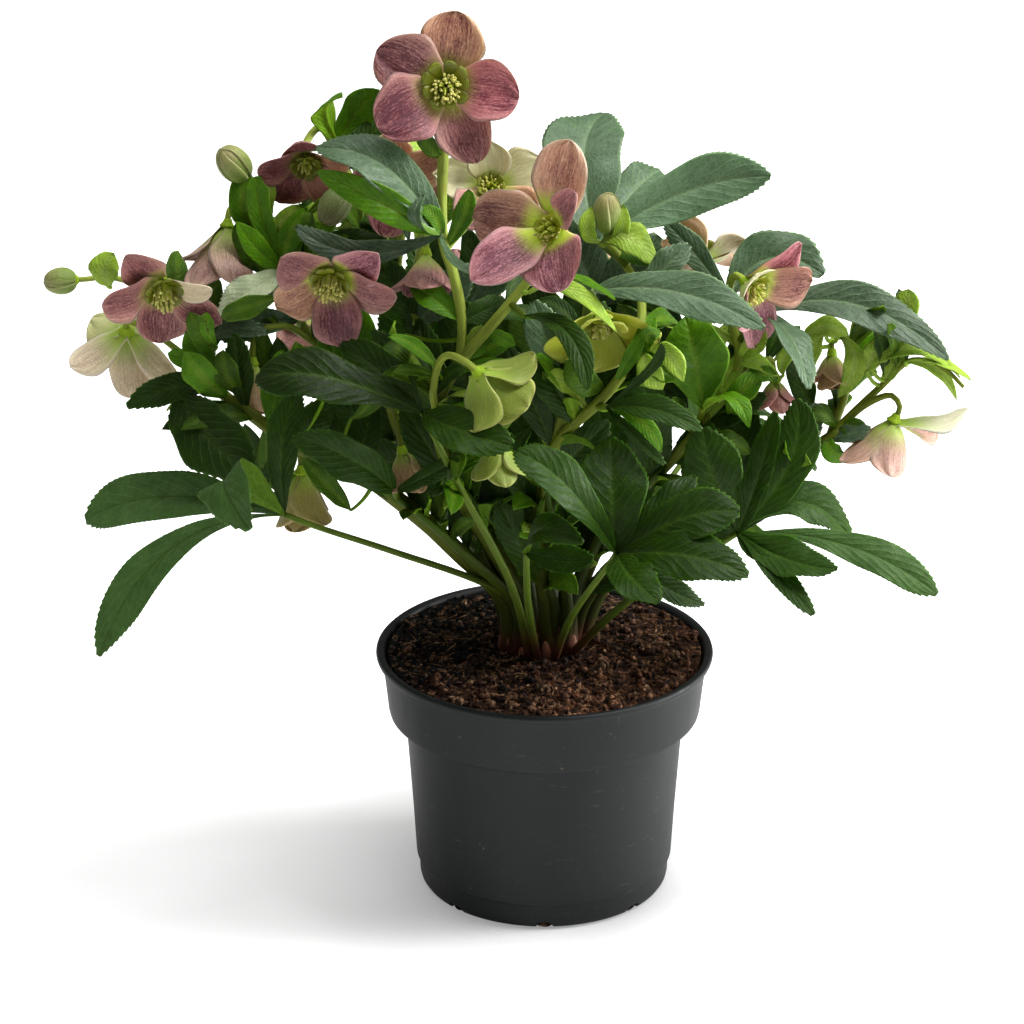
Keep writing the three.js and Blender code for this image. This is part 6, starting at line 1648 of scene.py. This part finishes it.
def leaf_material(name, under=False, painted_sheen=0.0, gloss=0.18, furrow=False):
    """A leaf surface with forked side veins in a fine net. furrow is for the bluish leaves, whose grey is
    partly painted sheen.
    """
    g = Graph(name)
    uv, tint = g.surface(), g.tint()
    along, side = g.place()[:2]
    sheared = g.math("SUBTRACT", g.math("MULTIPLY", along, 10), g.math("MULTIPLY", side, 2.9))
    ripple = g.math("MULTIPLY", g.noise(g.scaled(uv, (0.14, 0.14, 1)), 1.0), 0.7)
    saw = g.math("PINGPONG", g.math("ADD", sheared, ripple), 0.5)
    branch_vein = g.math("MULTIPLY", g.ridge(saw, 0.08 if furrow else 0.06), g.span(side, 1.0, 0.5))
    net = g.net(g.scaled(uv, (0.36, 0.5, 1)), 1.0)
    netted = g.ridge(net, 0.14)
    mottle = g.noise(g.scaled(uv, (0.12, 0.12, 1)), 1.0, 4)
    hairs = g.noise(g.scaled(uv, (0.5, 3.4, 1)), 1.0, 3, 0.7)
    colour = g.blend(g.span(mottle, 0.3, 0.7, 0.0, 0.6), tint, g.times(tint, (0.52, 0.62, 0.5)))
    pale = g.plus(tint, (0.07, 0.1, 0.05) if furrow else (0.06, 0.09, 0.012))
    dark = g.times(tint, (0.32, 0.4, 0.3))
    if furrow:
        colour = g.blend(g.span(hairs, 0.5, 0.7, 0.0, 0.35), colour, pale)
        colour = g.blend(g.math("MULTIPLY", netted, 0.3), colour, pale)
        colour = g.blend(g.math("MULTIPLY", branch_vein, 0.55), colour, pale)
        colour = g.blend(g.span(mottle, 0.55, 0.8, 0.0, 0.3), colour, dark)
    else:
        colour = g.blend(g.math("MULTIPLY", netted, 0.25), colour, pale if under else dark)
        colour = g.blend(g.math("MULTIPLY", branch_vein, 0.5), colour, pale)
        # Painted shade along the midrib's crease, on the upper side only.
        painted_groove_shade = g.math("MULTIPLY", g.ridge(side, 0.05), 0.0 if under else 0.5)
        colour = g.blend(painted_groove_shade, colour, dark)
    # A painted grey sheen along the fine hair lines, as strong as asked for.
    painted_silver = g.math("MULTIPLY", g.span(hairs, 0.56, 0.76), painted_sheen)
    colour = g.blend(painted_silver, colour, (0.42, 0.5, 0.42, 1))
    pucker = g.math("MULTIPLY", g.span(saw, 0.0, 0.4), 0.25 if furrow else 0.4)
    bumps = g.math("ADD", pucker, g.math("MULTIPLY", g.span(net, 0.0, 0.35), 0.28))
    height = g.math("ADD", g.math("MULTIPLY", branch_vein, 0.7 if under else -0.7),
                    g.math("ADD", bumps, g.math("MULTIPLY", hairs, 0.3)))
    rough = g.span(mottle, 0.3, 0.7, *((0.55, 0.68) if under else (0.38, 0.52)))
    return g.finish(colour, rough, height, 0.4, 0.0007, Subsurface_Weight=0.12, Subsurface_Scale=0.0012,
                    Subsurface_Radius=(0.5, 1.0, 0.2), Specular_IOR_Level=gloss)


def sepal_material():
    """Sepals with streaked, specked and netted red veins, as strong as Place says."""
    g = Graph("Sepal")
    uv, tint = g.surface(), g.tint()
    blush = g.place()[1]
    shift = g.node("TexNoise", {"Vector": uv, "Scale": 0.3, "Detail": 2.0}).outputs["Color"]
    warped = g.node("VectorMath", {0: uv, 1: g.scaled(shift, (0.0, 1.6, 0))}, operation="ADD").outputs[0]
    streak = g.noise(g.scaled(warped, (0.09, 1.5, 1)), 1.0, 4, 0.7)
    speck = g.noise(g.scaled(warped, (0.75, 2.0, 1)), 1.0, 3, 0.6)
    net = g.net(g.scaled(warped, (0.4, 1.0, 1)), 1.0)
    patch = g.noise(g.scaled(uv, (0.07, 0.1, 1)), 1.0, 2)
    lines = g.math("ADD", g.math("MULTIPLY", g.span(streak, 0.4, 0.58), 0.5),
                   g.math("MULTIPLY", g.span(speck, 0.42, 0.58), 0.36))
    lines = g.math("ADD", lines, g.math("MULTIPLY", g.span(net, 0.25, 0.0), 0.2))
    lines = g.math("MULTIPLY", g.math("ADD", lines, 0.12), g.span(patch, 0.25, 0.7, 0.65, 1.25))
    lines = g.math("MULTIPLY", lines, blush, clamp=True)
    wine = g.times(tint, (0.24, 0.075, 0.16))
    light = g.plus(tint, (0.12, 0.11, 0.09))
    fine = g.math("MULTIPLY", g.span(speck, 0.5, 0.36), g.span(streak, 0.56, 0.42))
    colour = g.blend(g.math("MULTIPLY", fine, 0.6), tint, light)
    colour = g.blend(lines, colour, wine)
    colour = g.blend(g.span(streak, 0.5, 0.64, 0, 0.3), colour, g.times(colour, (0.7, 0.68, 0.5)))
    height = g.math("ADD", g.math("MULTIPLY", streak, 0.9), g.math("MULTIPLY", speck, 0.4))
    return g.finish(colour, g.span(patch, 0.3, 0.7, 0.5, 0.62), height, 0.4, 0.0006, Subsurface_Weight=0.18,
                    Subsurface_Scale=0.0012, Subsurface_Radius=(1.0, 0.7, 0.5), Sheen_Weight=0.08)


def stem_material():
    """Stems and leaf stalks with fine fibres and red blotches."""
    g = Graph("Stem")
    uv, tint = g.surface(), g.tint()
    fibres = g.noise(g.scaled(uv, (0.08, 1.6, 1)), 1.0, 4, 0.6)
    blotch = g.noise(g.scaled(uv, (0.12, 0.3, 1)), 1.0, 3)
    colour = g.blend(g.span(fibres, 0.35, 0.7, 0.0, 0.55), tint, g.times(tint, (0.5, 0.58, 0.4)))
    colour = g.blend(g.span(fibres, 0.6, 0.4, 0.0, 0.3), colour, g.times(tint, (1.5, 1.6, 1.2)))
    colour = g.blend(g.span(blotch, 0.58, 0.72, 0.0, 0.35), colour, g.times(tint, (0.8, 0.42, 0.42)))
    rough = g.span(blotch, 0.3, 0.7, 0.42, 0.58)
    return g.finish(colour, rough, fibres, 0.35, 0.0006, Subsurface_Weight=0.1, Subsurface_Scale=0.0015,
                    Subsurface_Radius=(0.6, 0.9, 0.2), Specular_IOR_Level=0.12)


def floret_material():
    """Nectaries, stamens and carpels."""
    g = Graph("Floret")
    tint = g.tint()
    grain = g.noise(g.object_place(), 900.0, 3)
    colour = g.blend(g.span(grain, 0.3, 0.7, 0.0, 0.45), tint, g.times(tint, (0.66, 0.62, 0.4)))
    return g.finish(colour, g.span(grain, 0.3, 0.7, 0.36, 0.55), grain, 0.25, 0.0003,
                    Subsurface_Weight=0.15, Subsurface_Scale=0.001, Subsurface_Radius=(0.8, 1.0, 0.3))


def pot_material():
    """Black moulded plastic with scuffs and specks of dust."""
    g = Graph("Pot_plastic")
    place = g.object_place()
    broad = g.noise(g.scaled(place, (1, 1, 0.35)), 22.0, 5, 0.6)
    fine = g.noise(place, 1500.0, 2)
    scuff = g.noise(g.scaled(place, (60, 60, 420)), 1.0, 4, 0.7)
    specks = g.noise(place, 420.0, 3, 0.7)
    colour = g.blend(g.span(broad, 0.3, 0.75, 0.0, 0.5), solid(PLASTIC), solid(WORN_PLASTIC))
    colour = g.blend(g.span(scuff, 0.62, 0.78, 0.0, 0.22), colour, solid(SCUFF_GREY))
    colour = g.blend(g.span(specks, 0.68, 0.76, 0.0, 0.5), colour, solid(DUST))
    height = g.math("ADD", g.math("MULTIPLY", fine, 0.5), g.math("MULTIPLY", scuff, 0.3))
    rough = g.span(broad, 0.3, 0.7, 0.46, 0.6)
    return g.finish(colour, rough, height, 0.12, 0.0003, Specular_IOR_Level=0.31)


def soil_material():
    """Moist peat in crumbs."""
    g = Graph("Peat")
    place, tint = g.object_place(), g.tint()
    grain = g.noise(place, 700.0, 5, 0.7)
    clods = g.noise(place, 170.0, 4, 0.6)
    colour = g.blend(g.span(grain, 0.35, 0.7, 0.0, 0.75), tint, g.times(tint, (0.35, 0.3, 0.28)))
    crumbs = g.node("TexVoronoi", {"Vector": place, "Scale": 520.0, "Randomness": 1.0}).outputs
    tone = g.node("SeparateColor", {0: crumbs["Color"]}).outputs[0]
    colour = g.blend(g.span(tone, 0.2, 0.6, 0.9, 0.0), colour, g.times(tint, (0.1, 0.08, 0.08)))
    colour = g.blend(g.span(tone, 0.72, 0.98, 0.0, 0.8), colour, g.plus(tint, (0.2, 0.108, 0.06)))
    colour = g.blend(g.span(clods, 0.55, 0.75, 0.0, 0.25), colour, g.plus(tint, (0.06, 0.035, 0.02)))
    round_crumbs = g.math("MULTIPLY", crumbs["Distance"], -1.4)
    height = g.math("ADD", g.math("ADD", grain, clods), round_crumbs)
    return g.finish(colour, 0.92, height, 1.0, 0.0016, Specular_IOR_Level=0.2)


def crown_material():
    """The fibrous rhizome and its sheaths."""
    g = Graph("Rhizome")
    uv, tint = g.surface(), g.tint()
    grain = g.noise(g.scaled(uv, (0.15, 1.4, 1)), 1.0, 4)
    colour = g.blend(g.span(grain, 0.35, 0.7, 0.0, 0.7), tint, g.times(tint, (0.4, 0.34, 0.3)))
    return g.finish(colour, 0.6, grain, 0.5, 0.0008)


def floor_material():
    """A white floor that glows for the camera, with a painted shadow: it darkens under and round the pot."""
    hidden, free = 0.42, 0.97  # how open to the sky it is where it's darkest, and from where it's bright
    reach = 0.065  # how far away a thing shades it, in metres
    shift = (0.05, 0.02, 0)  # its painted shadow, a dimmer patch, has its middle that far back from the origin
    g = Graph("Floor")
    grain = g.noise(g.object_place(), 30.0, 3)
    colour = g.blend(g.span(grain, 0.3, 0.7), (0.86, 0.86, 0.86, 1), (0.88, 0.88, 0.88, 1))
    open_sky = g.node("AmbientOcclusion", {"Distance": reach}, samples=4).outputs["AO"]
    # Painted contact shadow: the colour darkens where things crowd the floor.
    colour = g.blend(g.span(open_sky, hidden, free), (0.38, 0.38, 0.38, 1), colour)
    off = g.node("VectorMath", {0: g.object_place(), 1: shift}, operation="ADD").outputs[0]
    far = g.node("VectorMath", {0: off}, operation="LENGTH").outputs["Value"]
    # Painted light and shadow: the glow is dimmer near the pot and where things crowd the floor.
    painted_glow = g.math("MULTIPLY", g.span(far, 0.14, 0.34, 0.39, 0.8), g.span(open_sky, hidden, free, 0.75, 1))
    # The glow is painted light: full for the camera, and weaker for other rays, where it lights the plant
    # from below.
    seen = g.node("LightPath").outputs["Is Camera Ray"]
    g.shader.inputs["Emission Color"].default_value = (1, 1, 1, 1)
    g.put(g.shader.inputs["Emission Strength"], g.math("MULTIPLY", painted_glow, g.span(seen, 0, 1, 0.4, 1)))
    return g.finish(colour, 0.9)


LEAF_UPPER_MATERIAL = leaf_material("Leaf_upper", painted_sheen=0.015, gloss=0.13)
LEAF_UNDER_MATERIAL = leaf_material("Leaf_under", under=True, painted_sheen=0.03, gloss=0.1)
LEAF_BLUE_MATERIAL = leaf_material("Leaf_blue", painted_sheen=0.2, gloss=0.36, furrow=True)
SEPAL_MATERIAL = sepal_material()
STEM_MATERIAL = stem_material()
FLORET_MATERIAL = floret_material()
POT_MATERIAL = pot_material()
SOIL_MATERIAL = soil_material()
CROWN_MATERIAL = crown_material()
LEAF_MATERIALS = [LEAF_UPPER_MATERIAL, LEAF_UNDER_MATERIAL, STEM_MATERIAL, LEAF_BLUE_MATERIAL]
FLOWER_MATERIALS = [SEPAL_MATERIAL, FLORET_MATERIAL, STEM_MATERIAL]


# ------------------------------------------------------------------ the plant

SEED, LEAF_SEED = 11, 100
rng = np.random.default_rng(SEED)
pot_piece()
soil_piece(rng)
crown_piece(rng)
for name, branches in STEMS.items():
    stem_piece(name, branches, rng)
for name, spec in FLOWERS.items():
    flower_piece(name, spec, np.random.default_rng(len(name) * 31 + int(spec["radius"] * 7)))
for name, spec in BUDS.items():
    bud_piece(name, spec, rng)
for number, (name, spec) in enumerate(LEAVES.items()):
    leaf_piece(name, spec, np.random.default_rng(LEAF_SEED + number))


# ------------------------------------------------------------------ floor, light and camera

FLOOR_SIZE = 14
WHITE = (1, 1, 1, 1)
BACKDROP, SKY_LIGHT = 1.0, 0.23  # how bright the world is for the camera, and for the plant
# The name of each light, its place, its target and its size in metres, and its watts.
LIGHTS = [
    ("Key", (0.95, -0.17, 1.55), (0, 0, 0.2), 0.8, 34),
    ("Top", (-0.1, 0.2, 1.9), (0, 0, 0.2), 1.3, 18),
    ("Side", (1.5, 0.1, 0.34), (0, 0, 0.1), 0.5, 24),
]
CLIP = (0.05, 30)


def area_light(name, at, target, size, watts):
    """A round light at a place, in metres, turned to a target."""
    data = bpy.data.lights.new(name, "AREA")
    data.shape = "DISK"
    data.size = size
    data.energy = watts
    light = bpy.data.objects.new(name, data)
    light.location = at
    light.rotation_euler = (Vector(target) - Vector(at)).to_track_quat("-Z", "Y").to_euler()
    bpy.context.scene.collection.objects.link(light)


bpy.ops.mesh.primitive_plane_add(size=FLOOR_SIZE)
floor = bpy.context.object
floor.name = "floor"
floor.data.materials.append(floor_material())

world = bpy.data.worlds.new("Studio")
world.use_nodes = True
nodes, links = world.node_tree.nodes, world.node_tree.links
backdrop, sky = nodes["Background"], nodes.new("ShaderNodeBackground")
for shader, strength in ((backdrop, BACKDROP), (sky, SKY_LIGHT)):
    shader.inputs["Color"].default_value = WHITE
    shader.inputs["Strength"].default_value = strength
seen, either = nodes.new("ShaderNodeLightPath"), nodes.new("ShaderNodeMixShader")
links.new(seen.outputs["Is Camera Ray"], either.inputs[0])
links.new(sky.outputs[0], either.inputs[1])
links.new(backdrop.outputs[0], either.inputs[2])
links.new(either.outputs[0], nodes["World Output"].inputs["Surface"])
bpy.context.scene.world = world
for light in LIGHTS:
    area_light(*light)

camera_data = bpy.data.cameras.new("Camera")
camera_data.sensor_width = SENSOR
camera_data.lens = LENS
camera_data.clip_start, camera_data.clip_end = CLIP
camera = bpy.data.objects.new("Camera", camera_data)
camera.location = [value * MM for value in CAMERA_AT]
camera.rotation_euler = (math.radians(90 - CAMERA_TILT), 0, 0)
bpy.context.scene.collection.objects.link(camera)
bpy.context.scene.camera = camera
bpy.context.scene.view_settings.view_transform = "Standard"
